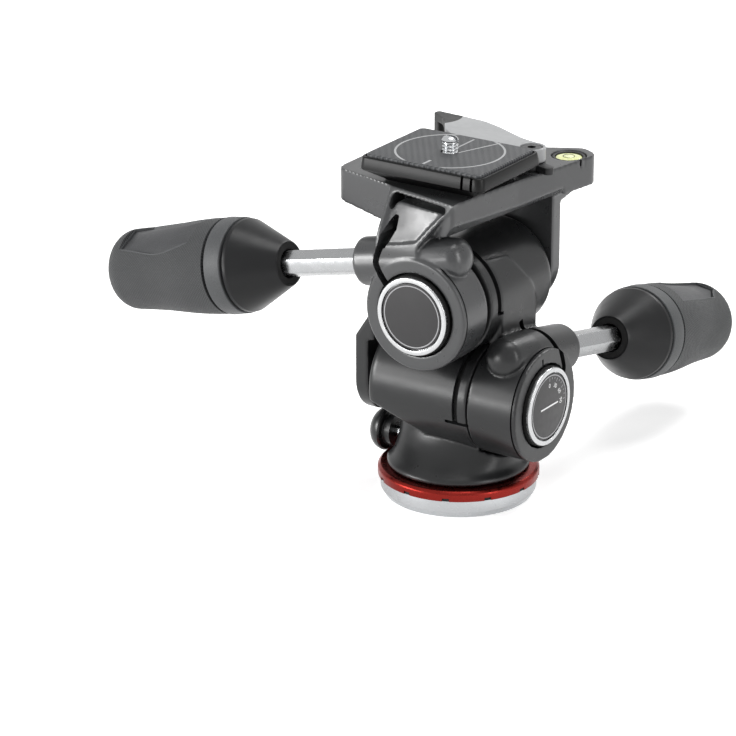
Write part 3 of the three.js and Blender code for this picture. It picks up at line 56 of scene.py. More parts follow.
FRONT_DROP = math.radians(11.8)
SIDE_DROP = math.radians(12.6)
LEVEL_SPOT = (18.2, 47.9)
LEVER_SPOT = (14.6, 26.2)
PLATE_SPOT = (-4.1, -1.4)
PLATE_SIZE = (54, 43)
OVER = 1.0
KNURL = 1.25
MERGED = 1e-4
ON_AXIS = 1e-6
BEVELLED_OVER = math.radians(40)
SHARP_OVER = math.radians(35)
THREAD_ROWS = 6
FINEST = 128
FINE = 96
ROUND = 64
PLAIN = 48
COARSE = 32
HIDDEN = 24

Flat = tuple[float, float]
Place = tuple[float, float, float]
Outline = Sequence[Flat]
Rows = Sequence[tuple[float, Sequence[float]]]
Corners = list[bmesh.types.BMVert]
Socket = bpy.types.NodeSocket

log = logging.getLogger("head")


class Operation(Enum):
    """How one closed shape acts on another."""

    CUT = "DIFFERENCE"
    JOIN = "UNION"
    KEEP = "INTERSECT"


class Body(Enum):
    """The bodies that pieces ride on."""

    BASE = "base"
    PAN = "pan_body"
    PAN_LOCK = "pan_lock"
    MID = "mid_body"
    TILT_HANDLE = "tilt_handle"
    TILT_GRIP = "tilt_grip_body"
    TOP = "top_body"
    SIDE_HANDLE = "side_handle"
    SIDE_GRIP = "side_grip_body"
    LEVER = "release_lever"
    CATCH = "catch_body"
    CAMERA_SCREW = "camera_screw_body"


def turned(place: Place, angle: float, axis: str) -> Matrix:
    """Return the frame at a place, turned about one axis."""
    return Matrix.Translation(place) @ Matrix.Rotation(angle, 4, axis)


def spun(angle: float) -> Matrix:
    """Return a turn about Z."""
    return Matrix.Rotation(angle, 4, "Z")


def above(spot: Flat) -> Matrix:
    """Return the frame over a spot of the plan."""
    return Matrix.Translation((*spot, 0))


LOWER_BARREL = turned((0, 0, LOWER_AXIS), RIGHT_ANGLE, "Y")
UPPER_BARREL = turned((0, 0, UPPER_AXIS), RIGHT_ANGLE, "X")
LOWER_CLAMP = turned((27.5, 0, LOWER_AXIS + 18.2), -RIGHT_ANGLE - FRONT_DROP, "X")
UPPER_CLAMP = turned((0, -22.2, UPPER_AXIS + 19.4), -RIGHT_ANGLE - SIDE_DROP, "Y")
PAN_LOCK = turned((0, 0, 18), -RIGHT_ANGLE, "Y")
HEAD = Matrix.Identity(4)


# Shapes


class Shape:
    """A closed mesh under construction, in millimetres, in the frame of its sub-assembly."""

    def __init__(self, mesh: bmesh.types.BMesh) -> None:
        """Take a filled bmesh and free it.

        Args:
            mesh: the faces of one closed shape.
        """
        bmesh.ops.remove_doubles(mesh, verts=mesh.verts, dist=MERGED)
        bmesh.ops.recalc_face_normals(mesh, faces=mesh.faces)
        data = bpy.data.meshes.new("shape")
        mesh.to_mesh(data)
        mesh.free()
        self.object = bpy.data.objects.new("shape", data)
        bpy.context.scene.collection.objects.link(self.object)

    def moved(self, matrix: Matrix) -> "Shape":
        """Carry the mesh by a matrix and return the shape."""
        self.object.data.transform(matrix)
        return self

    def settle(self) -> "Shape":
        """Apply all modifiers to the mesh and return the shape."""
        graph = bpy.context.evaluated_depsgraph_get()
        settled = bpy.data.meshes.new_from_object(self.object.evaluated_get(graph))
        old = self.object.data
        self.object.modifiers.clear()
        self.object.data = settled
        bpy.data.meshes.remove(old)
        return self

    def combine(self, operation: Operation, tools: Iterable["Shape"]) -> "Shape":
        """Cut, join or keep with closed tools, which are used up.

        Args:
            operation: what each tool does to this shape.
            tools: the closed shapes to use.

        Returns:
            This shape, changed.
        """
        used = list(tools)
        for tool in used:
            modifier = self.object.modifiers.new("combine", "BOOLEAN")
            modifier.operation = operation.value
            modifier.solver = "MANIFOLD"
            modifier.object = tool.object
        self.settle()
        for tool in used:
            tool.drop()
        return self

    def cut(self, *tools: "Shape") -> "Shape":
        """Cut tools away and return the shape."""
        return self.combine(Operation.CUT, tools)

    def join(self, *tools: "Shape") -> "Shape":
        """Join tools on and return the shape."""
        return self.combine(Operation.JOIN, tools)

    def keep(self, *tools: "Shape") -> "Shape":
        """Keep only what lies in every tool and return the shape."""
        return self.combine(Operation.KEEP, tools)

    def soften(self, voxel: float, rounds: int) -> "Shape":
        """Round every edge a little, as casting and tumbling do.

        Args:
            voxel: edge length of the even mesh, in millimetres.
            rounds: how often the mesh is smoothed.

        Returns:
            This shape, changed.
        """
        even = self.object.modifiers.new("even", "REMESH")
        even.mode = "VOXEL"
        even.voxel_size = voxel
        smooth = self.object.modifiers.new("smooth", "SMOOTH")
        smooth.factor = 0.5
        smooth.iterations = rounds
        return self.settle()

    def weld(self, reach: float = 0.1) -> "Shape":
        """Merge the slivers that a late cut leaves and return the shape."""
        modifier = self.object.modifiers.new("weld", "WELD")
        modifier.merge_threshold = reach
        return self.settle()

    def bevel(self, width: float, segments: int = 2) -> "Shape":
        """Bevel the sharp edges and return the shape."""
        modifier = self.object.modifiers.new("bevel", "BEVEL")
        modifier.width = width
        modifier.segments = segments
        modifier.limit_method = "ANGLE"
        modifier.angle_limit = BEVELLED_OVER
        modifier.use_clamp_overlap = True
        return self.settle()

    def drop(self) -> None:
        """Remove the shape from the scene."""
        data = self.object.data
        bpy.data.objects.remove(self.object)
        bpy.data.meshes.remove(data)

    def piece(self, name: str, matrix: Matrix) -> bpy.types.Object:
        """Turn the shape into a finished piece in metres, in the head's frame.

        Args:
            name: the piece's name.
            matrix: the frame that the shape was built in.

        Returns:
            The object of the piece.
        """
        data = self.object.data
        data.transform(Matrix.Scale(MM, 4) @ matrix)
        if matrix.determinant() < 0:
            data.flip_normals()
        data.shade_smooth()
        data.set_sharp_from_angle(angle=SHARP_OVER)
        data.name = name
        self.object.name = name
        return self.object


def rounded(profile: Sequence[Sequence[float]], closed: bool, steps: int = 4) -> list[Flat]:
    """Round the corners of a profile.

    Args:
        profile: corners as (across, along) or (across, along, radius).
        closed: whether the last corner joins the first.
        steps: segments in each round.

    Returns:
        The points of the profile with its corners rounded.
    """
    points: list[Flat] = []
    count = len(profile)
    for index, corner in enumerate(profile):
        at = Vector(corner[:2])
        inner = closed or 0 < index < count - 1
        if len(corner) < 3 or not inner:
            points.append(tuple(at))
            continue
        before = Vector(profile[index - 1][:2]) - at
        after = Vector(profile[(index + 1) % count][:2]) - at
        half = before.angle(after) / 2
        reach = min(corner[2] / math.tan(half), before.length * 0.49, after.length * 0.49)
        start = at + before.normalized() * reach
        end = at + after.normalized() * reach
        for step in range(steps + 1):
            share = step / steps
            curved = start * (1 - share) ** 2 + at * 2 * share * (1 - share) + end * share**2
            points.append(tuple(curved))
    return points


def carried(shapes: Iterable[Shape], matrix: Matrix) -> list[Shape]:
    """Carry several shapes by one matrix."""
    return [shape.moved(matrix) for shape in shapes]


def fan(whole: float, steps: int) -> list[float]:
    """Return even angles from zero up to the whole, without it."""
    return [whole * index / steps for index in range(steps)]


def corner_ring(mesh: bmesh.types.BMesh, height: float, radii: Sequence[float]) -> Corners:
    """Add one ring of corners, by a radius for each step round the turn."""
    angles = fan(TURN, len(radii))
    return [mesh.verts.new((r * math.cos(a), r * math.sin(a), height)) for r, a in zip(radii, angles)]


def skin(mesh: bmesh.types.BMesh, low: Corners, high: Corners) -> None:
    """Lay a row of faces between two rings of corners, of which one may be a single corner."""
    count = max(len(low), len(high))
    for index in range(count):
        after = (index + 1) % count
        face = (
            low[index % len(low)], low[after % len(low)], high[after % len(high)], high[index % len(high)],
        )
        unique = list(dict.fromkeys(face))
        if len(unique) > 2:
            mesh.faces.new(unique)


def tube(mesh: bmesh.types.BMesh, rings: list[Corners], closed: bool) -> Shape:
    """Skin rings of corners into one shape.

    Args:
        mesh: the mesh that holds the corners.
        rings: the rings, all with the same number of corners.
        closed: whether the last ring joins the first; if not, both ends are capped.

    Returns:
        The shape.
    """
    for low, high in zip(rings, rings[1:] + ([rings[0]] if closed else [])):
        skin(mesh, low, high)
    if not closed:
        mesh.faces.new(list(reversed(rings[0])))
        mesh.faces.new(rings[-1])
    return Shape(mesh)


def lathe(profile: Sequence[Sequence[float]], steps: int = FINE, closed: bool = False) -> Shape:
    """Turn a profile about Z.

    Args:
        profile: corners as (radius, height) or (radius, height, rounding).
        steps: facets round the turn.
        closed: whether the profile closes on itself instead of on the axis.

    Returns:
        The turned shape.
    """
    mesh = bmesh.new()
    rings: list[Corners] = []
    for radius, height in rounded(profile, closed):
        if radius < ON_AXIS:
            rings.append([mesh.verts.new((0, 0, height))])
        else:
            rings.append(corner_ring(mesh, height, [radius] * steps))
    for low, high in zip(rings, rings[1:] + ([rings[0]] if closed else [])):
        skin(mesh, low, high)
    return Shape(mesh)


def rod(radius: float, low: float, high: float, steps: int = ROUND) -> Shape:
    """Return a cylinder about Z."""
    return lathe([(0, low), (radius, low), (radius, high), (0, high)], steps)


def ring(inner: float, outer: float, low: float, high: float, steps: int = ROUND) -> Shape:
    """Return a plain ring about Z."""
    return lathe([(inner, low), (outer, low), (outer, high), (inner, high)], steps, closed=True)


def loft(levels: Sequence[tuple[float, Outline]]) -> Shape:
    """Join level outlines with the same number of points into one shape.

    Args:
        levels: heights with their outlines, from one end to the other.

    Returns:
        The lofted shape.
    """
    mesh = bmesh.new()
    rings = [[mesh.verts.new((x, y, height)) for x, y in outline] for height, outline in levels]
    return tube(mesh, rings, closed=False)


def prism(outline: Outline, low: float, high: float) -> Shape:
    """Carry an outline of (x, y) points up Z."""
    return loft([(low, outline), (high, outline)])


def front_prism(outline: Outline, front: float, back: float) -> Shape:
    """Carry an outline of (x, z) points, seen from the front, along Y."""
    basis = Matrix(((1, 0, 0, 0), (0, 0, -1, 0), (0, 1, 0, 0), (0, 0, 0, 1)))
    return prism(outline, -back, -front).moved(basis)


def side_prism(outline: Outline, left: float, right: float) -> Shape:
    """Carry an outline of (y, z) points, seen from +X, along X."""
    basis = Matrix(((0, 0, 1, 0), (1, 0, 0, 0), (0, 1, 0, 0), (0, 0, 0, 1)))
    return prism(outline, left, right).moved(basis)


def block(low: Place, high: Place) -> Shape:
    """Return a block between two corners."""
    outline = [(low[0], low[1]), (high[0], low[1]), (high[0], high[1]), (low[0], high[1])]
    return prism(outline, low[2], high[2])


def arc(centre: Flat, radius: float, start: float, end: float, steps: int) -> list[Flat]:
    """Return points along an arc, ends included."""
    angles = [start + (end - start) * index / steps for index in range(steps + 1)]
    return [(centre[0] + radius * math.cos(a), centre[1] + radius * math.sin(a)) for a in angles]


def oblong(centre: Flat, width: float, depth: float, radius: float, steps: int = 8) -> list[Flat]:
    """Return a rectangle with round corners about a centre."""
    points: list[Flat] = []
    for quarter, (side_x, side_y) in enumerate(((1, 1), (-1, 1), (-1, -1), (1, -1))):
        corner = (centre[0] + side_x * (width / 2 - radius), centre[1] + side_y * (depth / 2 - radius))
        points += arc(corner, radius, quarter * RIGHT_ANGLE, (quarter + 1) * RIGHT_ANGLE, steps)
    return points


def smooth_line(points: Sequence[Flat], steps: int) -> list[Flat]:
    """Return a smooth line through all the points, with steps segments between neighbours."""
    line: list[Flat] = []
    for index in range(len(points) - 1):
        p = [Vector(points[min(max(index + offset, 0), len(points) - 1)]) for offset in (-1, 0, 1, 2)]
        for step in range(steps):
            t = step / steps
            value = 0.5 * (
                2 * p[1]
                + (p[2] - p[0]) * t
                + (2 * p[0] - 5 * p[1] + 4 * p[2] - p[3]) * t**2
                + (3 * p[1] - p[0] - 3 * p[2] + p[3]) * t**3
            )
            line.append(tuple(value))
    return [*line, tuple(points[-1])]


def band(line: Sequence[Flat], width: float) -> list[Flat]:
    """Return the outline of a band of even width along a line."""
    left, right = [], []
    for index, point in enumerate(line):
        before = Vector(line[max(index - 1, 0)])
        after = Vector(line[min(index + 1, len(line) - 1)])
        along = (after - before).normalized() * (width / 2)
        left.append((point[0] - along.y, point[1] + along.x))
        right.append((point[0] + along.y, point[1] - along.x))
    return [*right, *reversed(left)]


def hexagon(across: float) -> list[Flat]:
    """Return a hexagon by its width across flats."""
    return arc((0, 0), across / 2 / math.cos(math.pi / 6), 0, TURN, 6)[:6]


def threaded(
    radius: float, low: float, high: float, pitch: float, depth: float, inside: bool = False,
) -> Rows:
    """Return the rings of a screw thread's surface, as heights with radii round the turn.

    Args:
        radius: the thread's outer radius, or its inner one when inside.
        low: where the thread starts.
        high: where it ends.
        pitch: height of one turn.
        depth: how deep the thread is.
        inside: whether this is a thread in a hole.

    Returns:
        One (height, radii) pair for each ring.
    """
    rows = max(int((high - low) / pitch * THREAD_ROWS), 2)
    table = []
    for row in range(rows + 1):
        height = low + (high - low) * row / rows
        fade = min(row, rows - row, THREAD_ROWS) / THREAD_ROWS
        radii = []
        for index in range(ROUND):
            phase = (height / pitch - index / ROUND) % 1
            crest = 1 - abs(2 * phase - 1)
            radii.append(radius + (1 if inside else -1) * depth * (1 - crest) * fade)
        table.append((height, radii))
    return table


def wound(rows: Rows, closed: bool) -> Shape:
    """Turn rows of radii into one shape.

    Args:
        rows: heights with a radius for each step round the turn.
        closed: whether the last row joins the first, for a tube; if not, both ends are capped.

    Returns:
        The shape.
    """
    mesh = bmesh.new()
    return tube(mesh, [corner_ring(mesh, height, radii) for height, radii in rows], closed)


def gathered(shapes: Sequence[Shape]) -> Shape:
    """Return one shape of several that don't touch."""
    mesh = bmesh.new()
    for shape in shapes:
        mesh.from_mesh(shape.object.data)
        shape.drop()
    return Shape(mesh)


def numeral(text: str, size: float) -> Shape:
    """Return a plain number as a thin raised shape, centred, in the frame's own plane."""
    curve = bpy.data.curves.new("numeral", "FONT")
    curve.body = text
    curve.size = size
    curve.extrude = 0.05
    curve.resolution_u = 3
    curve.align_x = "CENTER"
    curve.align_y = "CENTER"
    item = bpy.data.objects.new("numeral", curve)
    bpy.context.scene.collection.objects.link(item)
    graph = bpy.context.evaluated_depsgraph_get()
    mesh = bmesh.new()
    mesh.from_mesh(bpy.data.meshes.new_from_object(item.evaluated_get(graph)))
    bpy.data.objects.remove(item)
    bpy.data.curves.remove(curve)
    return Shape(mesh)


def knurled(shape: Shape, radius: float) -> Shape:
    """Lay a map of the grip round its axis on a turned shape, in knurls round and along.

    Args:
        shape: the turned shape, in its own frame.
        radius: its radius, which sets how many knurls go round.

    Returns:
        The shape, with its map.
    """
    data = shape.object.data
    layer = data.uv_layers.new(name="knurls")
    around = round(TURN * radius / KNURL)
    for face in data.polygons:
        middle = math.atan2(face.center.y, face.center.x)
        for index in face.loop_indices:
            at = data.vertices[data.loops[index].vertex_index].co
            turn = math.atan2(at.y, at.x)
            turn += TURN * round((middle - turn) / TURN)
            layer.data[index].uv = (turn / TURN * around, at.z / KNURL)
    return shape


# Finishes


def add(tree: bpy.types.NodeTree, kind: str, **values: float | Sequence[float]) -> bpy.types.Node:
    """Add a shader node.

    Args:
        tree: the nodes that it joins.
        kind: its type, without the prefix.
        values: constants for its inputs by name, with underscores for spaces.

    Returns:
        The node.
    """
    node = tree.nodes.new(f"ShaderNode{kind}")
    for name, value in values.items():
        node.inputs[name.replace("_", " ")].default_value = value
    return node


def reckon(tree: bpy.types.NodeTree, operation: str, first: Socket, second: Socket | float) -> Socket:
    """Return what a math node makes of a value and a second value or constant."""
    node = add(tree, "Math")
    node.operation = operation
    tree.links.new(first, node.inputs[0])
    if isinstance(second, Socket):
        tree.links.new(second, node.inputs[1])
    else:
        node.inputs[1].default_value = second
    return node.outputs[0]


def ranged(tree: bpy.types.NodeTree, value: Socket, low: float, high: float, source: Flat = (0, 1)) -> Socket:
    """Return a value stretched from its source range to low and high."""
    ramp = add(tree, "MapRange", From_Min=source[0], From_Max=source[1], To_Min=low, To_Max=high)
    tree.links.new(value, ramp.inputs["Value"])
    return ramp.outputs["Result"]


class Wiring:
    """A material's nodes, added and linked in short steps."""

    def __init__(self, name: str) -> None:
        """Start a material with an empty surface.

        Args:
            name: the material's name.
        """
        self.material = bpy.data.materials.new(name)
        self.material.use_nodes = True
        self.tree = self.material.node_tree
        self.shader = self.tree.nodes["Principled BSDF"]
        self.place = add(self.tree, "TexCoord").outputs["Object"]

    def set(self, **values: float | Sequence[float]) -> None:
        """Set constants on the surface by name, with underscores for spaces."""
        for name, value in values.items():
            self.shader.inputs[name.replace("_", " ")].default_value = value

    def reading(self, kind: str, source: Socket, **values: float | Sequence[float]) -> bpy.types.Node:
        """Add a node that reads a place, with constants on its inputs, and return it."""
        node = add(self.tree, kind, **values)
        self.tree.links.new(source, node.inputs["Vector"])
        return node

    def noise(self, scale: float, detail: float = 3, stretch: Place = (1, 1, 1)) -> Socket:
        """Return the value of a noise in object space.

        Args:
            scale: how many features lie in a metre.
            detail: octaves of the noise.
            stretch: scale along each axis.

        Returns:
            The noise's value socket.
        """
        mapping = self.reading("Mapping", self.place, Scale=stretch)
        return self.reading("TexNoise", mapping.outputs["Vector"], Scale=scale, Detail=detail).outputs["Fac"]

    def cells(self, scale: float) -> Socket:
        """Return the distance in a pattern of small cells, by how many lie in a metre."""
        return self.reading("TexVoronoi", self.place, Scale=scale).outputs["Distance"]

    def waves(self, scale: float, turn: float) -> Socket:
        """Return ribs that run at a turn about Z.

        Args:
            scale: how many ribs lie in a metre, over 20.
            turn: the ribs' direction in degrees.

        Returns:
            The ribs' value socket.
        """
        mapping = self.reading("Mapping", self.place, Rotation=(0, 0, math.radians(turn)))
        return self.reading("TexWave", mapping.outputs["Vector"], Scale=scale, Distortion=0.6).outputs["Fac"]

    def knurls(self) -> Socket:
        """Return small diamonds between two crossing sets of grooves, by the piece's map."""
        parts = self.reading("SeparateXYZ", add(self.tree, "TexCoord").outputs["UV"])
        lines = []
        for operation in ("ADD", "SUBTRACT"):
            mixed = reckon(self.tree, operation, parts.outputs["X"], parts.outputs["Y"])
            lines.append(reckon(self.tree, "PINGPONG", mixed, 0.5))
        return reckon(self.tree, "MULTIPLY", reckon(self.tree, "MINIMUM", *lines), 2)

    def between(self, value: Socket, low: float, high: float) -> Socket:
        """Return a value stretched from the middle of its range to low and high."""
        return ranged(self.tree, value, low, high, (0.3, 0.7))

    def blend(self, value: Socket, dark: Place, light: Place) -> None:
        """Colour the surface between two tones.

        Args:
            value: where each tone shows.
            dark: the colour at 0.
            light: the colour at 1.
        """
        mix = add(self.tree, "Mix")
        mix.data_type = "RGBA"
        mix.inputs[6].default_value = (*dark, 1)
        mix.inputs[7].default_value = (*light, 1)
        self.tree.links.new(value, mix.inputs[0])
        self.tree.links.new(mix.outputs[2], self.shader.inputs["Base Color"])

    def roughen(self, value: Socket, low: float, high: float) -> None:
        """Let the roughness vary between two values."""
        self.tree.links.new(self.between(value, low, high), self.shader.inputs["Roughness"])

    def emboss(self, *heights: tuple[Socket, float, float]) -> None:
        """Raise the surface by patterns.

        Args:
            heights: each pattern's value, its strength and its depth in metres.
        """
        previous = None
        for value, strength, depth in heights:
            bump = add(self.tree, "Bump", Strength=strength, Distance=depth)
            self.tree.links.new(value, bump.inputs["Height"])
            if previous is not None:
                self.tree.links.new(previous, bump.inputs["Normal"])
            previous = bump.outputs["Normal"]
        if previous is not None:
            self.tree.links.new(previous, self.shader.inputs["Normal"])


@dataclass(frozen=True)
class Finish:
    """A surface by its name, its slot in the record and its colour."""

    name: str
    slot: str
    color: Place
    roughness: float

    def tones(self, spread: float) -> tuple[Place, Place]:
        """Return a darker and a lighter tone of the colour."""
        dark = tuple(value * (1 - spread) for value in self.color)
        light = tuple(min(value * (1 + spread), 1) for value in self.color)
        return dark, light

    def material(self) -> bpy.types.Material:
        """Return the finish's material, made once."""
        known = bpy.data.materials.get(self.name)
        if known:
            return known
        wiring = Wiring(self.name)
        wiring.set(Roughness=self.roughness)
        self.wire(wiring)
        return wiring.material

    def wire(self, wiring: Wiring) -> None:
        """Give the surface its detail."""
        wiring.blend(wiring.noise(60), *self.tones(0.06))


@dataclass(frozen=True)
class SatinPaint(Finish):
    """Satin paint on a casting, with the fine grain of sprayed paint."""

    grain: float = 0.12
    gloss: float = 0.35

    def wire(self, wiring: Wiring) -> None:
        """Give the paint its slight cloud, its grain and its soft sheen."""
        wiring.set(Specular_IOR_Level=self.gloss)
        wiring.blend(wiring.noise(35), *self.tones(0.1))
        wiring.roughen(wiring.noise(160), self.roughness - 0.04, self.roughness + 0.05)
        wiring.emboss((wiring.noise(2600, 2), self.grain, 0.00012), (wiring.noise(240), 0.06, 0.0002))


@dataclass(frozen=True)
class Moulded(Finish):
    """Moulded plastic with a fine eroded grain."""

    grain: float = 0.1

    def wire(self, wiring: Wiring) -> None:
        """Give the plastic its grain and uneven gloss."""
        wiring.set(Specular_IOR_Level=0.3)
        wiring.blend(wiring.noise(90), *self.tones(0.08))
        wiring.roughen(wiring.noise(400), self.roughness - 0.05, self.roughness + 0.07)
        wiring.emboss((wiring.noise(3200, 2), self.grain, 0.0001))


@dataclass(frozen=True)
class Metal(Finish):
    """Bare or anodised metal with faint tool marks."""

    marks: Place = (1, 1, 1)
    grain: float = 0.03

    def wire(self, wiring: Wiring) -> None:
        """Give the metal its tool marks and smears."""
        wiring.set(Metallic=1)
        wiring.blend(wiring.noise(120), *self.tones(0.04))
        wiring.roughen(wiring.noise(500, 4, self.marks), self.roughness * 0.75, self.roughness * 1.3)
        wiring.emboss((wiring.noise(1800, 4, self.marks), self.grain, 0.0001))


@dataclass(frozen=True)
class GripRubber(Finish):
    """Soft grip rubber with a fine pebbled skin."""

    pebbles: float = 1150
    depth: float = 0.00035

    def wire(self, wiring: Wiring) -> None:
        """Give the rubber its pebbles, painted shade in their hollows and handling sheen."""
        cells = wiring.cells(self.pebbles)
        wiring.set(Specular_IOR_Level=0.35)
        wiring.blend(wiring.between(cells, 0.35, 1), *self.tones(0.22))
        wiring.roughen(wiring.noise(50), self.roughness - 0.06, self.roughness + 0.08)
        wiring.emboss((cells, 0.55, self.depth), (wiring.noise(300), 0.1, 0.0003))


@dataclass(frozen=True)
class KnurledRubber(Finish):
    """Grip rubber with a fine crossed knurl."""

    depth: float = 0.0003

    def wire(self, wiring: Wiring) -> None:
        """Give the rubber its knurl, with painted shade in the grooves, and its handling sheen."""
        knurls = wiring.knurls()
        wiring.set(Specular_IOR_Level=0.35)
        wiring.blend(knurls, *self.tones(0.34))
        wiring.roughen(wiring.noise(50), self.roughness - 0.06, self.roughness + 0.08)
        wiring.emboss((knurls, 0.6, self.depth), (wiring.noise(1400), 0.12, 0.0002))


@dataclass(frozen=True)
class RibbedRubber(Finish):
    """Rubber pad with two crossing sets of fine ribs."""

    ribs: float = 240

    def wire(self, wiring: Wiring) -> None:
        """Give the pad its ribs, with a painted highlight on their crests."""
        first = wiring.waves(self.ribs, 55)
        second = wiring.waves(self.ribs * 0.55, 145)
        wiring.blend(first, *self.tones(0.5))
        wiring.emboss((first, 0.8, 0.0004), (second, 0.5, 0.0003))


@dataclass(frozen=True)
class LevelFluid(Finish):
    """Tinted fluid of a bubble level under its clear lens."""

    def wire(self, wiring: Wiring) -> None:
        """Give the fluid its glow and a clear gloss on top."""
        wiring.set(Coat_Weight=0.8, Coat_Roughness=0.03)
        wiring.set(Subsurface_Weight=0.2, Subsurface_Radius=(0.002, 0.002, 0.001))
        wiring.blend(wiring.noise(300), *self.tones(0.08))


@dataclass(frozen=True)
class Ink(Finish):
    """Printed ink, slightly uneven at its edges."""

    def wire(self, wiring: Wiring) -> None:
        """Give the ink its slight unevenness."""
        wiring.blend(wiring.noise(900), *self.tones(0.07))
        wiring.emboss((wiring.noise(2500), 0.05, 0.00005))


ANTHRACITE = SatinPaint("anthracite_paint", "anthracite", (0.013, 0.0134, 0.014), 0.31)
PLATFORM_GREY = SatinPaint("platform_paint", "platform_grey", (0.036, 0.037, 0.0385), 0.3, gloss=0.55)
BLACK_PLASTIC = Moulded("black_moulding", "black_plastic", (0.012, 0.012, 0.013), 0.42)
DIAL_FACE = Moulded("dial_face", "black_plastic", (0.03, 0.029, 0.03), 0.36, grain=0.05)
PLATE_BLACK = SatinPaint("plate_black", "plate_black", (0.014, 0.0145, 0.0155), 0.42)
COLLAR_BLACK = SatinPaint("collar_black", "anthracite", (0.008, 0.0082, 0.0088), 0.33, gloss=0.22)
LEVER_GREY = Moulded("lever_moulding", "lever_grey", (0.33, 0.335, 0.34), 0.36, grain=0.05)
TAB_DARK = Moulded("tab_dark", "black_plastic", (0.03, 0.03, 0.029), 0.5, grain=0.16)
RED_ANODISED = Metal("red_anodised_ring", "red_anodised", (0.2, 0.018, 0.014), 0.3, grain=0.02)
ALUMINIUM = Metal("machined_aluminium", "aluminium", (0.42, 0.43, 0.44), 0.32, marks=(1, 1, 6))
ROD_STEEL = Metal("bright_rod", "aluminium", (0.34, 0.345, 0.35), 0.24, grain=0.03)
STEEL = Metal("bright_steel", "steel", (0.45, 0.46, 0.47), 0.22)
DARK_STEEL = Metal("blackened_steel", "steel", (0.08, 0.08, 0.082), 0.35)
BRASS = Metal("turned_brass", "brass", (0.62, 0.42, 0.16), 0.3)
NYLON = Moulded("nylon_moulding", "nylon", (0.75, 0.74, 0.7), 0.45)
GRIP = KnurledRubber("grip_rubber", "rubber", (0.038, 0.0395, 0.041), 0.6)
THUMB_PAD = GripRubber("thumb_pad", "rubber", (0.034, 0.035, 0.037), 0.5, pebbles=2200, depth=0.00012)
GRIP_BAND = GripRubber("grip_band", "rubber", (0.05, 0.052, 0.054), 0.5, pebbles=2600, depth=0.0001)
PAD = RibbedRubber("pad_rubber", "rubber", (0.04, 0.042, 0.045), 0.55)
PAD_LINE = Moulded("pad_line", "rubber", (0.36, 0.365, 0.37), 0.55)
SHADOW_BLACK = Moulded("shadow_black", "black_plastic", (0.004, 0.004, 0.004), 0.7, grain=0.02)
KNOB_BLACK = SatinPaint("knob_black", "anthracite", (0.014, 0.0145, 0.015), 0.28)
BEZEL = Metal("dial_bezel", "steel", (0.45, 0.455, 0.46), 0.24, grain=0.01)
BUBBLE = Moulded("level_bubble_skin", "vial", (0.85, 0.9, 0.55), 0.15, grain=0.0)
FLUID = LevelFluid("level_fluid", "vial", (0.72, 0.76, 0.3), 0.12)
WHITE_INK = Ink("white_ink", "nylon", (0.8, 0.8, 0.8), 0.5)
GREY_INK = Ink("grey_ink", "nylon", (0.33, 0.33, 0.34), 0.5)


def place(
    shape: Shape, name: str, matrix: Matrix, finish: Finish, body: Body, nodes: Sequence[str] = (),
) -> None:
    """Put a finished piece on its body.

    Args:
        shape: the closed shape, used up.
        name: the piece's name.
        matrix: the frame that it was built in.
        finish: its surface.
        body: the body that carries it.
        nodes: the solids that it stands for.
    """
    piece = shape.piece(name, matrix)
    piece.data.materials.clear()
    piece.data.materials.append(finish.material())
    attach(piece, body.value)
    if nodes:
        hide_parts(*nodes)
    log.info("%s on %s, %d faces", name, body.value, len(piece.data.polygons))


def dress(node: str, finish: Finish) -> None:
    """Give a solid that stays its own surface."""
    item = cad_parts[node]
    if not item.data.materials:
        item.data.materials.append(None)
    for slot in item.material_slots:
        slot.material = finish.material()


# Base


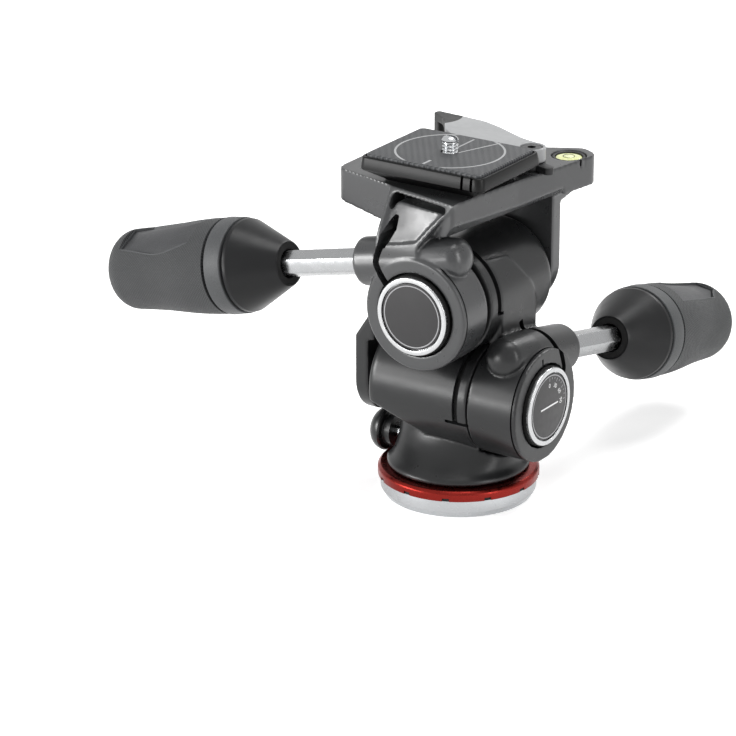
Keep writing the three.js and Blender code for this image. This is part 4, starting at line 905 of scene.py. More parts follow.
@dataclass
class Base:
    """Base disc with its threaded insert and screws, red ring and pan spindle."""

    radius: float = 29.9
    height: float = 7.2
    bore: float = 6.8
    insert_radius: float = 6.5
    thread_radius: float = 4.76
    screw_circle: float = 9.9
    screw_head: float = 2.4
    ring_radius: float = 31.0
    ring_inner: float = 13.2
    notches: int = 12
    turns: list[float] = field(default_factory=lambda: [0, TURN / 3, 2 * TURN / 3])

    def disc(self) -> Shape:
        """Return the disc with its bore and countersunk holes."""
        body = lathe([
            (self.bore, 0, 0.3), (self.radius - 1.5, 0, 0.6), (self.radius, 2.5, 0.8),
            (self.radius, self.height, 0.3), (self.bore, self.height),
        ], FINE, closed=True)
        holes = []
        for turn in self.turns:
            hole = lathe([
                (0, -OVER), (2.7, -OVER), (2.7, 0.3), (1.8, 2), (1.8, self.height + OVER),
                (0, self.height + OVER),
            ], COARSE)
            holes.append(hole.moved(above(self.screw_spot(turn))))
        return body.cut(*holes)

    def screw_spot(self, turn: float) -> Flat:
        """Return where a base screw stands."""
        return (self.screw_circle * math.cos(turn), self.screw_circle * math.sin(turn))

    def insert(self) -> Shape:
        """Return the insert with the tripod thread in it."""
        rows = threaded(self.thread_radius, 0.9, self.height - 0.3, 1.5875, 0.75, inside=True)
        flat = [self.insert_radius] * ROUND
        mouth = [self.thread_radius + 0.9] * ROUND
        return wound([(0.4, mouth), *rows, (self.height, [self.thread_radius + 0.4] * ROUND),
                      (self.height, flat), (0.4, flat)], closed=True)

    def screw(self) -> Shape:
        """Return one countersunk screw with a hexagonal socket."""
        body = lathe([(0, 0.3), (self.screw_head, 0.3, 0.2), (1.5, 1.7), (1.5, 12.6, 0.3), (0, 12.6)], COARSE)
        return body.cut(prism(hexagon(2), -OVER, 1.3))

    def ring(self) -> Shape:
        """Return the red ring with its notches."""
        low = self.height
        body = lathe([
            (self.ring_inner, low), (self.ring_radius, low, 0.3), (self.ring_radius, low + 3, 1.1),
            (self.ring_radius - 1.1, low + 4, 0.6), (26, low + 4.4), (self.ring_inner, low + 4.4),
        ], FINEST, closed=True)
        cuts = []
        for index in range(self.notches):
            turn = spun(math.radians(-7) + TURN * index / self.notches)
            outline = oblong((self.ring_radius + 0.4, 0), 3.2, 2.7, 0.6, 3)
            cuts.append(prism(outline, low - OVER, low + 1.3).moved(turn))
        return body.cut(*cuts)

    def build(self) -> None:
        """Make and place the base's pieces."""
        place(self.disc(), "base_plate", HEAD, ALUMINIUM, Body.BASE, ["base_disc"])
        place(self.insert(), "tripod_socket", HEAD, BRASS, Body.BASE, ["thread_insert"])
        place(self.ring(), "red_base_ring", HEAD, RED_ANODISED, Body.BASE, ["base_ring"])
        shade = ring(28, 30.5, self.height + 0.02, self.height + 1.2, FINEST)
        place(shade, "base_ring_shade", HEAD, SHADOW_BLACK, Body.BASE)
        for index, turn in enumerate(self.turns, 1):
            name, matrix = f"socket_screw_{index}", above(self.screw_spot(turn))
            place(self.screw(), name, matrix, DARK_STEEL, Body.BASE, [f"base_screw_{index}"])
        dress("pan_spindle", ALUMINIUM)


# Barrels and clamp bosses, shared by the castings


@dataclass
class Barrel:
    """Round barrel of a tilt axis with its groove, and the ring that is clamped on it."""

    radius: float = 21.8
    end_round: float = 3.0
    sweep: float = 22.3
    groove_width: float = 2.3
    groove_depth: float = 2.5
    hub: float = 13.5
    bore: float = 13.8
    counterbore: float = 16.2
    counter_depth: float = 5.0
    pivot: float = 8.3
    pivot_depth: float = 13.0
    slot_half: float = 0.65
    slot_depth: float = 2.2
    keeper_hole: float = 2.3
    keeper_depth: float = 13.0

    def core(self, flat: float, end: float) -> Shape:
        """Return the barrel from its flat face to its rounded end, along Z."""
        return lathe([(0, flat), (self.radius, flat), (self.radius, end, self.end_round), (0, end)], FINEST)

    def groove(self, low: float, turn: float, up: float) -> Shape:
        """Return the cutter of the half groove round a barrel.

        Args:
            low: where the groove starts along the barrel.
            turn: how far it stops short of half a turn.
            up: direction of the middle of the groove.

        Returns:
            The cutter.
        """
        reach = self.radius + OVER
        annulus = ring(self.radius - self.groove_depth, reach, low, low + self.groove_width, FINEST)
        return annulus.keep(self.sector(reach * 2, low, turn, up))

    def groove_shade(self, low: float, turn: float, up: float) -> Shape:
        """Return the black ring of painted shade on the floor of a groove, by the groove's own values."""
        floor = self.radius - self.groove_depth
        annulus = ring(floor - 0.6, floor + 0.9, low + 0.02, low + self.groove_width - 0.02, FINEST)
        return annulus.keep(self.sector(self.radius * 2, low, turn, up))

    def sector(self, reach: float, low: float, turn: float, up: float) -> Shape:
        """Return the sector that a half groove takes up, out to its reach, by the groove's own values."""
        outline = [(0.0, 0.0), *arc((0, 0), reach, up - RIGHT_ANGLE + turn, up + RIGHT_ANGLE - turn, 3)]
        return prism(outline, low - OVER, low + self.groove_width + OVER)

    def face_groove(self, face: float) -> Shape:
        """Return the cutter of the fine groove round a clamp ring, just behind its face."""
        return ring(self.radius - 0.9, self.radius + 0.6, face - 2.2, face - 1.5, FINEST)

    def slot(self, low: float, high: float, turn: float) -> Shape:
        """Return the cutter of the short slot along a barrel."""
        half = self.slot_half
        cutter = block((self.radius - self.slot_depth, -half, low), (self.radius + OVER, half, high))
        return cutter.moved(spun(turn))

    def ring_bore(self, seam: float, face: float) -> list[Shape]:
        """Return the cutters of a clamp ring's bore and dial seat."""
        return [
            rod(self.bore, seam - OVER, face + OVER, FINEST),
            rod(self.counterbore, face - self.counter_depth, face + OVER, FINEST),
        ]

    def hub_end(self, face: float) -> float:
        """Return where the stub under a dial ends."""
        return face - self.counter_depth + 0.3

    def keeper_bore(self, face: float, end: float) -> Shape:
        """Return the cutter of the keeper screw's hole under a dial, up to an end."""
        return rod(self.keeper_hole, self.hub_end(face) - self.keeper_depth, end, HIDDEN)

    def shares(self, shares: Sequence[Flat], height: float) -> list[Flat]:
        """Return shares of the barrel's radius as places about its axis."""
        return [(across * self.radius, height + up * self.radius) for across, up in shares]


@dataclass
class Boss:
    """Clamp boss across a ring: nut side, handle side and their holes, along the clamp axis."""

    nut_side: float = 7.6
    middle: float = 9.0
    handle_side: float = 9.3
    end: float = 28.5
    mouth: float = 6.3
    mouth_depth: float = 4.6

    def outside(self, clamp: Matrix, low: Place, high: Place) -> list[Shape]:
        """Return the nut side with its dome and the handle side, between the faces of a clamp ring.

        Args:
            clamp: the frame of the clamp axis.
            low: the low corner of the room between the faces.
            high: its high corner.

        Returns:
            The two shapes.
        """
        dome = [(self.nut_side * math.cos(a), -12.4 - 5.6 * math.sin(a)) for a in fan(RIGHT_ANGLE, 8)]
        nut = lathe([(0, 0), (self.middle, 0), *dome, (0, -18)], ROUND)
        handle = lathe([
            (0, 0), (self.middle, 0), (self.handle_side, 12), (self.handle_side, self.end, 0.9),
            (0, self.end),
        ], ROUND)
        return [shape.moved(clamp).keep(block(low, high)) for shape in (nut, handle)]

    def holes(self) -> list[Shape]:
        """Return the cutters of the thread's hole, the nut's seat and the mouth."""
        return [
            rod(3.3, -11.5, self.end, COARSE), rod(5.3, -11.5, -4.5, COARSE),
            rod(self.mouth, self.end - self.mouth_depth, self.end + OVER),
        ]


def pivot_screw_hole(outer: float) -> Shape:
    """Return the cutter for a pivot's screw from the outer face of its arm."""
    return lathe([
        (0, outer - OVER), (4.7, outer - OVER), (4.7, outer + 2.9), (2.8, outer + 2.9), (2.8, outer + 10),
        (0, outer + 10),
    ], COARSE)


@dataclass
class PivotScrew:
    """Button head screw sunk in the outer face of a pivot arm."""

    head: float = 4.4
    head_height: float = 2.6

    def build(self, name: str, outer: float, matrix: Matrix, body: Body, node: str) -> None:
        """Make and place the screw.

        Args:
            name: the piece's name.
            outer: where the arm's outer face lies along the axis.
            matrix: the barrel's frame.
            body: the body that carries it.
            node: the solid that it stands for.
        """
        low, high = outer + 0.3, outer + self.head_height
        shape = lathe([
            (0, low), (self.head, low, 0.7), (self.head, high), (2.5, high), (2.5, outer + 9.7, 0.3),
            (0, outer + 9.7),
        ], PLAIN)
        place(shape.cut(prism(hexagon(4), low - OVER, low + 1.6)), name, matrix, DARK_STEEL, body, [node])


BARREL = Barrel()
BOSS = Boss()


# Pan housing


@dataclass
class PanHousing:
    """Flared neck that turns on the base, and the front tilt barrel on it."""

    low: float = 12.0
    foot: float = 27.3
    right: float = 16.3
    left: float = -28.0
    ring_face: float = 38.0
    groove_back: float = 6.0
    groove_turn: float = math.radians(-16)
    lock_bore: Flat = (2.8, 38.2)
    lock_recess: Flat = (11, 24)
    washer_room: Flat = (17.8, 15.35)
    spindle_room: Flat = (15.3, 22.2)
    voxel: float = 0.5
    levels: list[Place] = field(default_factory=lambda: [
        (0, 1, 1), (0.046, 1, 1), (0.115, 0.93, 0.916), (0.197, 0.908, 0.799), (0.296, 0.897, 0.681),
        (0.428, 0.894, 0.571), (0.592, 0.894, 0.495), (1, 0.894, 0.44),
    ])

    def neck(self) -> Shape:
        """Return the neck from its round foot to the oval under the barrel."""
        wide = smooth_line([(up, x) for up, x, _ in self.levels], 5)
        deep = smooth_line([(up, y) for up, _, y in self.levels], 5)
        circle = arc((0, 0), self.foot, 0, TURN, FINE)[:-1]
        return loft([
            (self.low + (LOWER_AXIS - self.low) * up, [(x * across, y * along) for x, y in circle])
            for (up, across), (_, along) in zip(wide, deep)
        ])

    def undercut(self) -> Shape:
        """Return the cutter of the two sloping faces under the barrel's left end."""
        wing, half, deep, fall = 11.34, 23.0, 20.0, 0.37
        outline = [(-half, -deep), (half, -deep), (half, wing), (0, 0), (-half, wing)]
        slope = Matrix(((1, 0, 0, 0), (0, 1, 0, 0), (-fall, 0, 1, 0), (0, 0, 0, 1)))
        return side_prism(outline, 0, 32).moved(Matrix.Translation((-30, 0, 28.2)) @ slope)

    def body(self) -> Shape:
        """Return the housing with its cavity, recess and bores."""
        barrel = BARREL.core(self.right, self.left).moved(LOWER_BARREL).cut(self.undercut())
        sweep = rod(BARREL.sweep, self.right, self.ring_face, FINEST).moved(LOWER_BARREL)
        core = self.neck().join(barrel).cut(sweep)
        hub = rod(BARREL.hub, self.right - OVER, BARREL.hub_end(self.ring_face), FINE).moved(LOWER_BARREL)
        bores = [
            rod(BARREL.pivot, self.left - OVER, self.left + BARREL.pivot_depth),
            BARREL.keeper_bore(self.ring_face, self.ring_face),
        ]
        (screw, lock_end), (knob, lock_from) = self.lock_bore, self.lock_recess
        lock = [rod(screw, 0, lock_end, HIDDEN), rod(knob, lock_from, lock_end)]
        (washer, washer_top), (spindle, spindle_top) = self.washer_room, self.spindle_room
        inside = [rod(washer, self.low - OVER, washer_top), rod(spindle, self.low, spindle_top)]
        return core.join(hub).cut(*carried(bores, LOWER_BARREL), *carried(lock, PAN_LOCK), *inside)

    def groove(self) -> Place:
        """Return where the barrel's groove starts, its turn and the way its middle faces."""
        return (self.right - self.groove_back, self.groove_turn, math.pi)

    def grooves(self) -> list[Shape]:
        """Return the cutters of the barrel's groove and slot."""
        slot = BARREL.slot(self.right - 9.5, self.right + OVER, -RIGHT_ANGLE - self.groove_turn)
        return carried([BARREL.groove(*self.groove()), slot], LOWER_BARREL)

    def build(self) -> None:
        """Make and place the housing and dress what it hides."""
        casting = self.body().soften(self.voxel, 6).cut(*self.grooves()).weld()
        place(casting, "pan_housing_casting", HEAD, ANTHRACITE, Body.PAN, ["pan_housing"])
        # A black ring of painted shade lies on the floor of the front barrel's groove.
        floor = BARREL.groove_shade(*self.groove())
        place(floor, "front_groove_floor", LOWER_BARREL, SHADOW_BLACK, Body.PAN)
        dress("pan_retaining_ring", STEEL)
        dress("pan_thrust_washer", NYLON)


@dataclass
class PanLock:
    """Pan lock knob in the neck, with its screw and brake shoe."""

    inner: float = 28.0
    neck: float = 6.1
    neck_end: float = 31.2
    widest: float = 31.9
    radius: float = 8.7
    rise: float = 6.3

    def knob(self) -> Shape:
        """Return the domed knob."""
        dome = [
            (self.radius * math.cos(a) ** 0.85, self.widest + self.rise * math.sin(a))
            for a in fan(RIGHT_ANGLE, 14)
        ]
        return lathe([
            (0, self.inner), (self.neck, self.inner), (self.neck, self.neck_end, 0.3),
            (self.radius - 0.5, self.neck_end, 0.3), *dome, (0, self.widest + self.rise),
        ], FINE)

    def build(self) -> None:
        """Make and place the knob and dress its hidden pieces."""
        place(self.knob(), "pan_lock_cap", PAN_LOCK, KNOB_BLACK, Body.PAN_LOCK, ["pan_lock_knob"])
        dress("pan_lock_screw", STEEL)
        dress("pan_brake_shoe", BRASS)


# Dials


@dataclass
class DialStack:
    """Bright dial ring, its disc and marks on the end of a tilt axis, with the keeper behind them."""

    prefix: str
    matrix: Matrix
    body: Body
    face: float
    scale: bool
    radius: float = 15.05
    lip: float = 13.2
    lip_depth: float = 1.5
    floor: float = 1.1
    disc: float = 12.9
    sunk: float = 0.05
    proud: float = 0.06

    def bezel(self) -> Shape:
        """Return the ring with its thin bright lip."""
        back = self.face - 2.1
        seat = self.face - self.lip_depth
        return lathe([
            (self.lip, back - 0.5), (self.radius, back - 0.5), (self.radius, self.face, 0.6),
            (self.lip, self.face, 0.25), (self.lip, seat), (0, seat), (0, seat - self.floor),
            (self.lip, seat - self.floor),
        ], FINEST)

    def plate(self) -> Shape:
        """Return the disc that lies in the ring."""
        low = self.face - self.lip_depth + 0.1
        return lathe([(0, low), (self.disc, low), (self.disc, low + 1.1, 0.35), (0, low + 1.1)], FINEST)

    def marks(self) -> None:
        """Place the circle on a bare disc, or the ticks, circle, line and numbers of a scale."""
        high = self.face - self.lip_depth + 1.2
        low, top = high - self.sunk, high + self.proud
        if not self.scale:
            edge = ring(11.7, 12.1, low, top, FINEST)
            place(edge, f"{self.prefix}_dial_circle", self.matrix, GREY_INK, self.body)
            return
        ticks = []
        for step in range(-9, 1):
            bar = block((9.9 if step % 3 == 0 else 10.6, -0.13, low), (11.3, 0.13, top))
            ticks.append(bar.moved(spun(math.pi + math.radians(10 * step))))
        place(gathered(ticks), f"{self.prefix}_dial_ticks", self.matrix, GREY_INK, self.body)
        edge = ring(11.9, 12.3, low, top, FINEST)
        place(edge, f"{self.prefix}_dial_circle", self.matrix, GREY_INK, self.body)
        line = block((-0.3, -6, low), (0.3, 6.3, top))
        place(line, f"{self.prefix}_dial_line", self.matrix, WHITE_INK, self.body)
        for index, number in enumerate(("90", "60", "30", "0")):
            turn = spun(math.pi + math.radians(30 * (index - 3)))
            spot = turn @ Matrix.Translation((8.2, 0, high)) @ spun(-RIGHT_ANGLE)
            name = f"{self.prefix}_dial_number_{index}"
            place(numeral(number, 2.4), name, self.matrix @ spot, WHITE_INK, self.body)

    def build(self) -> None:
        """Make and place the dial's pieces."""
        name, matrix = self.prefix, self.matrix
        place(self.bezel(), f"{name}_bezel", matrix, BEZEL, self.body, [f"{name}_dial_ring"])
        place(self.plate(), f"{name}_dial_plate", matrix, DIAL_FACE, self.body, [f"{name}_dial"])
        self.marks()
        # A black ring of painted shade fills the gap round the bezel, and the keeper washer behind it is
        # painted the same shadow black.
        gap = ring(14.9, 15.4, self.face - 2.5, self.face - 1.3, FINEST)
        place(gap, f"{name}_dial_gap_shade", matrix, SHADOW_BLACK, self.body)
        dress(f"{name}_keeper_washer", SHADOW_BLACK)
        dress(f"{name}_keeper_screw", DARK_STEEL)


# Mid bracket


@dataclass
class MidBracket:
    """Outer arm, shoulder, front clamp ring with its boss, riser and side tilt barrel."""

    arm_inner: float = 31.5
    arm_outer: float = 37.4
    arm_half: float = 15.4
    ring_low: float = 16.8
    ring_face: float = 38.0
    seam: float = 12.4
    back: float = 32.0
    upper_face: float = 31.6
    relief: float = 22.4
    groove_back: float = 6.5
    groove_turn: float = math.radians(-7)
    stem_half: float = 22.1
    stem_front: float = -5.4
    stem_back: float = 19.3
    stem_low: float = 48
    voxel: float = 0.5
    riser: list[Flat] = field(default_factory=lambda: [
        (0.849, -0.11), (0.739, 0.142), (0.596, 0.307), (0.491, 0.45), (0.404, 0.583), (0.344, 0.697),
    ])
    split: list[Flat] = field(default_factory=lambda: [
        (0.48, 0.37), (0.62, 0.48), (0.485, 0.905), (0.36, 1.3),
    ])

    def arm(self) -> Shape:
        """Return the arm with its shoulder over the barrel's left end."""
        outer, inner, half = -self.arm_outer, -self.arm_inner, self.arm_half
        fillet = arc((inner + 2.5, 56), 2.5, math.pi, RIGHT_ANGLE, 8)
        shoulder = [
            (outer, LOWER_AXIS), (inner, LOWER_AXIS), *fillet, (0, 58.5), (0, UPPER_AXIS),
            (-BARREL.radius, UPPER_AXIS), (inner, 69), (outer, 60),
        ]
        strip = block((outer, -half, 0), (inner, half, LOWER_AXIS + OVER))
        front = front_prism(shoulder, -half, half).join(strip)
        side = [*arc((0, LOWER_AXIS), half, math.pi, TURN, PLAIN), (half, UPPER_AXIS), (-half, UPPER_AXIS)]
        room = block((outer - OVER, -self.seam, 58.5), (OVER, BARREL.radius, UPPER_AXIS)).join(
            block((outer - OVER, -half, 0), (inner + 2.5, half, UPPER_AXIS)))
        return front.keep(side_prism(side, outer - OVER, OVER), room)

    def stem(self) -> Shape:
        """Return the riser between the two barrels."""
        curve = smooth_line(BARREL.shares(self.riser, UPPER_AXIS), 6)
        front, back, low, half = self.stem_front, self.stem_back, self.stem_low, self.stem_half
        side = [(front, low), (back, low), (back, 74), *curve, (front, 97)]
        under = rod(half, -back, -front, FINEST).moved(UPPER_BARREL)
        return side_prism(side, 0, half).keep(block((0, front, low), (half, back, UPPER_AXIS)).join(under))

    def ring_cutters(self) -> list[Shape]:
        """Return the cutters of the front ring: bore, seat and boss holes."""
        return [
            *carried(BARREL.ring_bore(self.ring_low, self.ring_face), LOWER_BARREL),
            *carried(BOSS.holes(), LOWER_CLAMP),
        ]

    def grooves(self) -> list[Shape]:
        """Return the cutters of the split, the grooves, the slot and the index above the front dial."""
        seam = band(smooth_line(BARREL.shares(self.split, LOWER_AXIS), 6), 2.5)
        face = self.ring_face
        index = block((-19.2, -0.5, face - 0.7), (-16.6, 0.5, face + OVER)).moved(spun(0.12))
        slot = BARREL.slot(self.seam - 7.8, self.seam - 4.6, self.groove_turn)
        return [
            side_prism(seam, self.ring_low - OVER, face + OVER),
            *carried([BARREL.face_groove(face), index], LOWER_BARREL),
            *carried([BARREL.groove(*self.groove()), slot], UPPER_BARREL),
        ]

    def groove(self) -> Place:
        """Return where the side barrel's groove starts, its turn and the way its middle faces."""
        return (self.seam - self.groove_back, self.groove_turn, RIGHT_ANGLE)

    def barrel_cutters(self) -> list[Shape]:
        """Return the cutters of the side barrel: pivot bore and keeper's hole."""
        return carried([
            rod(BARREL.pivot, -self.back - OVER, -self.back + BARREL.pivot_depth),
            BARREL.keeper_bore(self.upper_face, BARREL.hub_end(self.upper_face) + OVER),
        ], UPPER_BARREL)

    def body(self) -> Shape:
        """Return the whole bracket."""
        core = BARREL.core(self.seam, -self.back).moved(UPPER_BARREL)
        relief = rod(self.relief, -self.arm_inner, self.ring_low, FINEST).moved(LOWER_BARREL)
        body = core.join(self.arm(), self.stem()).cut(relief)
        clamp = rod(BARREL.radius, self.ring_low, self.ring_face, FINEST).moved(LOWER_BARREL)
        bosses = BOSS.outside(LOWER_CLAMP, (self.ring_low, -48, 0), (self.ring_face, 48, UPPER_AXIS))
        swept = rod(BARREL.sweep, self.seam, self.upper_face, FINEST).moved(UPPER_BARREL)
        behind = block((-BARREL.radius, -self.seam - self.upper_face, 0), (0, -self.seam, UPPER_AXIS))
        body = body.join(clamp, *bosses).cut(swept.keep(behind))
        hub = rod(BARREL.hub, self.seam - OVER, BARREL.hub_end(self.upper_face), FINE).moved(UPPER_BARREL)
        arm_bore = rod(BARREL.pivot, -34.45, -30.5).moved(LOWER_BARREL)
        screw = pivot_screw_hole(-self.arm_outer).moved(LOWER_BARREL)
        return body.join(hub).cut(*self.ring_cutters(), *self.barrel_cutters(), arm_bore, screw)

    def build(self) -> None:
        """Make and place the bracket and its pivot screw, and dress what it hides."""
        casting = self.body().soften(self.voxel, 6).cut(*self.grooves()).weld()
        place(casting, "mid_bracket_casting", HEAD, ANTHRACITE, Body.MID, ["mid_bracket"])
        # A black ring of painted shade lies on the floor of the side barrel's groove.
        floor = BARREL.groove_shade(*self.groove())
        place(floor, "side_groove_floor", UPPER_BARREL, SHADOW_BLACK, Body.MID)
        PivotScrew().build("arm_screw", -self.arm_outer, LOWER_BARREL, Body.MID, "arm_pivot_screw")
        dress("arm_pivot_pin", STEEL)
        dress("tilt_clamp_nut", BRASS)


# Camera platform


@dataclass
class Platform:
    """Camera platform: plate, web in front, side clamp ring with its boss, leg and heel behind."""

    top: float = 124.5
    low: float = 112.0
    wall: float = 8.2
    ring_low: float = 12.9
    ring_face: float = 31.6
    leg: float = 33.0
    leg_thick: float = 6.3
    leg_half: float = 20.3
    trigger_spot: Flat = (-19, 8)
    web_low: float = 89.5
    voxel: float = 0.5
    upper_split: list[Flat] = field(default_factory=lambda: [
        (-0.48, 0.37), (-0.6, 0.47), (-0.8, 0.8), (-0.71, 1.12),
    ])
    leaf: list[Flat] = field(default_factory=lambda: [
        (-0.8, 1.06), (-0.76, 1.28), (-0.67, 1.5), (-0.59, 1.62), (-0.5, 1.62), (-0.48, 1.4), (-0.6, 1.14),
        (-0.63, 1.06),
    ])

    def plan(self) -> list[Flat]:
        """Return the outline of the platform seen from above."""
        corners = [
            (-18.4, -19.9), (13.6, -28, 1.5), (15.9, -10), (18.6, 10.9), (22.4, 30.3), (26.6, 55, 5.5),
            (18.4, 59.4, 5), (0, 49), (-19, 36, 6), (-47, 36, 4.5), (-47, -12.5, 5),
        ]
        return rounded(corners, closed=True, steps=8)

    def side_view(self) -> list[Flat]:
        """Return the platform seen from the side, with its arch over the side barrel."""
        arch = smooth_line([(-self.ring_low, 100), (-8, 107), (5, 112), (31, 113)], 8)
        return [(-32, 99), (-self.ring_low, 99), *arch, (60.4, 113), (60.4, self.top), (-32, self.top)]

    def front_view(self) -> list[Flat]:
        """Return the platform seen from the front, thick at the left."""
        return [
            (-48, self.low), (-18.4, self.low - 3), (0, self.low - 3), (13.6, self.low), (27.6, self.low),
            (27.6, self.top), (-48, self.top),
        ]

    def bevel_tool(self) -> Shape:
        """Return the wedge that thins the platform under its right hand wall."""
        along = Vector((26.6 - 13.6, 55 + 28))
        wall = self.top - self.wall
        drop = (wall - 111.9) / 3
        outline = [(-4, 110.9 - drop), (3, 110.9 - drop), (3, wall), (0, wall), (-4, 111.9 - drop)]
        turn = spun(-math.atan2(along.x, along.y))
        return front_prism(outline, -along.length, along.length * 0.77).moved(above((13.6, -28)) @ turn)

    def web(self) -> Shape:
        """Return the upright web from the ring to the platform's front edge."""
        curve = []
        for index in range(17):
            t = index / 16
            start, middle, end = Vector((14, 123.6)), Vector((5.5, 114)), Vector((0.4, 106.4))
            curve.append(tuple(start * (1 - t) ** 2 + middle * 2 * t * (1 - t) + end * t**2))
        face = front_prism([(-18.4, 90), (-18.4, self.top), (14, self.top), *curve, (-0.6, 90)], -32, 2)
        lean = self.web_front(0)
        arch = smooth_line([(-self.ring_low, 100), (-8, 107), (5, 112)], 8)
        room = side_prism([(-32, 89), (-self.ring_low, 89), *arch, (5, self.top), (-32, self.top)], -19.4, 15)
        return face.keep(lean, room)

    def web_front(self, sunk: float) -> Shape:
        """Return the room behind the web's smooth front face.

        Args:
            sunk: how far the room starts behind the face.

        Returns:
            The room, as a closed shape.
        """
        levels = []
        for index in range(24):
            height = self.web_low + (self.top + 0.5 - self.web_low) * index / 23
            bend = height - 102
            lean = 0 if bend < 0 else bend**2 / 350 if bend < 10 else (height - 107) / 17.5
            front = []
            for step in range(9):
                x = -19.6 + 34 * step / 8
                edge = -19.9 - 8.1 * (x + 18.4) / 32.4
                front.append((x, -31 + sunk + (edge + 31) * lean))
            back = -self.ring_low if height < 100 else 2
            levels.append((height, [*front, (14.4, back), (-19.6, back)]))
        return loft(levels)

    def web_hollow(self) -> Shape:
        """Return the cutter of the web's sunk front face and of the window over it."""
        inner = [
            (-16.2, 104.8, 1), (-16.2, 121.6, 2.4), (10.4, 121.6, 0.8), (7.2, 118), (3.9, 114.2),
            (1.2, 110.8), (-0.8, 108.2, 1), (-8, 106.2),
        ]
        room = front_prism(rounded(inner, closed=True, steps=6), -40, -14).cut(self.web_front(1.1))
        window = [
            (-16.2, 116.8, 0.5), (-16.2, 122.9, 2.6), (10.4, 122.9, 1.4), (10.4, 120, 1.4), (-13.4, 120, 2.2),
            (-14.9, 116.8, 0.5),
        ]
        return room.join(front_prism(rounded(window, closed=True, steps=6), -40, -14))

    def leg_and_heel(self) -> list[Shape]:
        """Return the leg behind the side barrel and the wedge under the platform behind it."""
        far, high = 59.4, self.top - self.wall
        outline = [
            *arc((0, 85), self.leg_half, math.pi, TURN, PLAIN), (self.leg_half, high),
            (-self.leg_half, self.top - OVER),
        ]
        leg = front_prism(outline, self.leg, self.leg + self.leg_thick)
        side = [
            (self.leg, high), (self.leg, self.low), (self.leg + self.leg_thick, 108.9), (far, self.low),
            (far, high),
        ]
        heel = side_prism(side, -self.leg_half, self.leg_half).keep(prism(self.plan(), 108, self.top))
        return [leg, heel]

    def clamp_ring(self) -> list[Shape]:
        """Return the side clamp ring and its boss."""
        face = self.ring_face
        outside = lathe([
            (0, self.ring_low), (19.6, self.ring_low, 0.8), (BARREL.radius, self.ring_low + 2.6, 1),
            (BARREL.radius, face, 1.1), (0, face),
        ], FINEST).moved(UPPER_BARREL)
        return [outside, *BOSS.outside(UPPER_CLAMP, (-48, -face, 0), (48, -self.ring_low, self.top))]

    def cutters(self) -> list[Shape]:
        """Return the cutters of the ring's bore, the boss holes and the holes in the platform."""
        trigger = lathe([
            (0, 110.5), (2.2, 110.5), (2.2, 120.4), (3, 120.4), (3, self.top + OVER), (0, self.top + OVER),
        ], COARSE)
        return [
            *carried(BARREL.ring_bore(self.ring_low, self.ring_face), UPPER_BARREL),
            *carried(BOSS.holes(), UPPER_CLAMP),
            rod(BARREL.pivot, -36.15, -32).moved(UPPER_BARREL),
            pivot_screw_hole(-self.leg - self.leg_thick).moved(UPPER_BARREL),
            rod(6.75, self.top - 3.2, self.top + OVER).moved(above(LEVEL_SPOT)),
            rod(2.8, 113.7, self.top + OVER, COARSE).moved(above(LEVER_SPOT)),
            trigger.moved(above(self.trigger_spot)),
        ]

    def grooves(self) -> list[Shape]:
        """Return the cutters of the split, the leaf shaped end of it and the ring's fine groove."""
        front, end = -self.ring_face - OVER, -self.ring_low + OVER
        split = band(smooth_line(BARREL.shares(self.upper_split, UPPER_AXIS), 6), 2.8)
        corners = [(*point, 1.3) for point in BARREL.shares(self.leaf, UPPER_AXIS)]
        leaf = rounded(corners, closed=True, steps=4)
        return [
            front_prism(split, front, end), front_prism(leaf, front, end),
            BARREL.face_groove(self.ring_face).moved(UPPER_BARREL),
        ]

    def body(self) -> Shape:
        """Return the whole platform."""
        slab = prism(self.plan(), 108, self.top).keep(
            front_prism(self.front_view(), -80, 80), side_prism(self.side_view(), -48, 27.6))
        slab.cut(self.bevel_tool())
        sweep = rod(BARREL.sweep, -self.leg, self.ring_low, FINEST).moved(UPPER_BARREL)
        body = slab.join(self.web(), *self.clamp_ring(), *self.leg_and_heel()).cut(sweep)
        return body.cut(*self.cutters())

    def build(self) -> None:
        """Make and place the platform and its pivot screw, and dress what it hides."""
        casting = self.body().cut(self.web_hollow()).soften(self.voxel, 5).cut(*self.grooves()).weld()
        place(casting, "platform_casting", HEAD, PLATFORM_GREY, Body.TOP, ["platform_bracket"])
        PivotScrew().build("leg_screw", -39.3, UPPER_BARREL, Body.TOP, "leg_pivot_screw")
        dress("leg_pivot_pin", STEEL)
        dress("side_clamp_nut", BRASS)
        dress("trigger_pin", BRASS)


@dataclass
class Level:
    """Round bubble level in the far corner of the platform."""

    floor: float = 121.6
    radius: float = 5.0

    def build(self) -> None:
        """Make and place the cup, its fluid, the mark and the bubble."""
        spot = above(LEVEL_SPOT)
        low = self.floor
        cup = lathe([
            (0, low), (6.4, low), (6.4, low + 2.6, 0.3), (5.3, low + 2.6, 0.3), (5.3, low + 0.3),
            (0, low + 0.3),
        ])
        place(cup, "level_cup_ring", spot, BLACK_PLASTIC, Body.TOP, ["level_cup"])
        lens = [(self.radius * math.cos(a), low + 2.1 + 0.5 * math.sin(a)) for a in fan(RIGHT_ANGLE, 8)]
        fluid = lathe([(0, low + 0.4), (self.radius, low + 0.4), *lens, (0, low + 2.6)])
        place(fluid, "level_fluid", spot, FLUID, Body.TOP, ["level_vial"])
        mark = ring(2.1, 2.35, low + 2.45, low + 2.62)
        place(mark, "level_mark", spot, BLACK_PLASTIC, Body.TOP)
        bubble = lathe([
            (1.5 * math.cos(a), low + 2.5 + 0.3 * math.sin(a))
            for a in (RIGHT_ANGLE * (index / 6 - 1) for index in range(13))
        ])
        place(bubble, "level_bubble", above((LEVEL_SPOT[0] + 0.8, LEVEL_SPOT[1] - 0.5)), BUBBLE, Body.TOP)


# Quick release


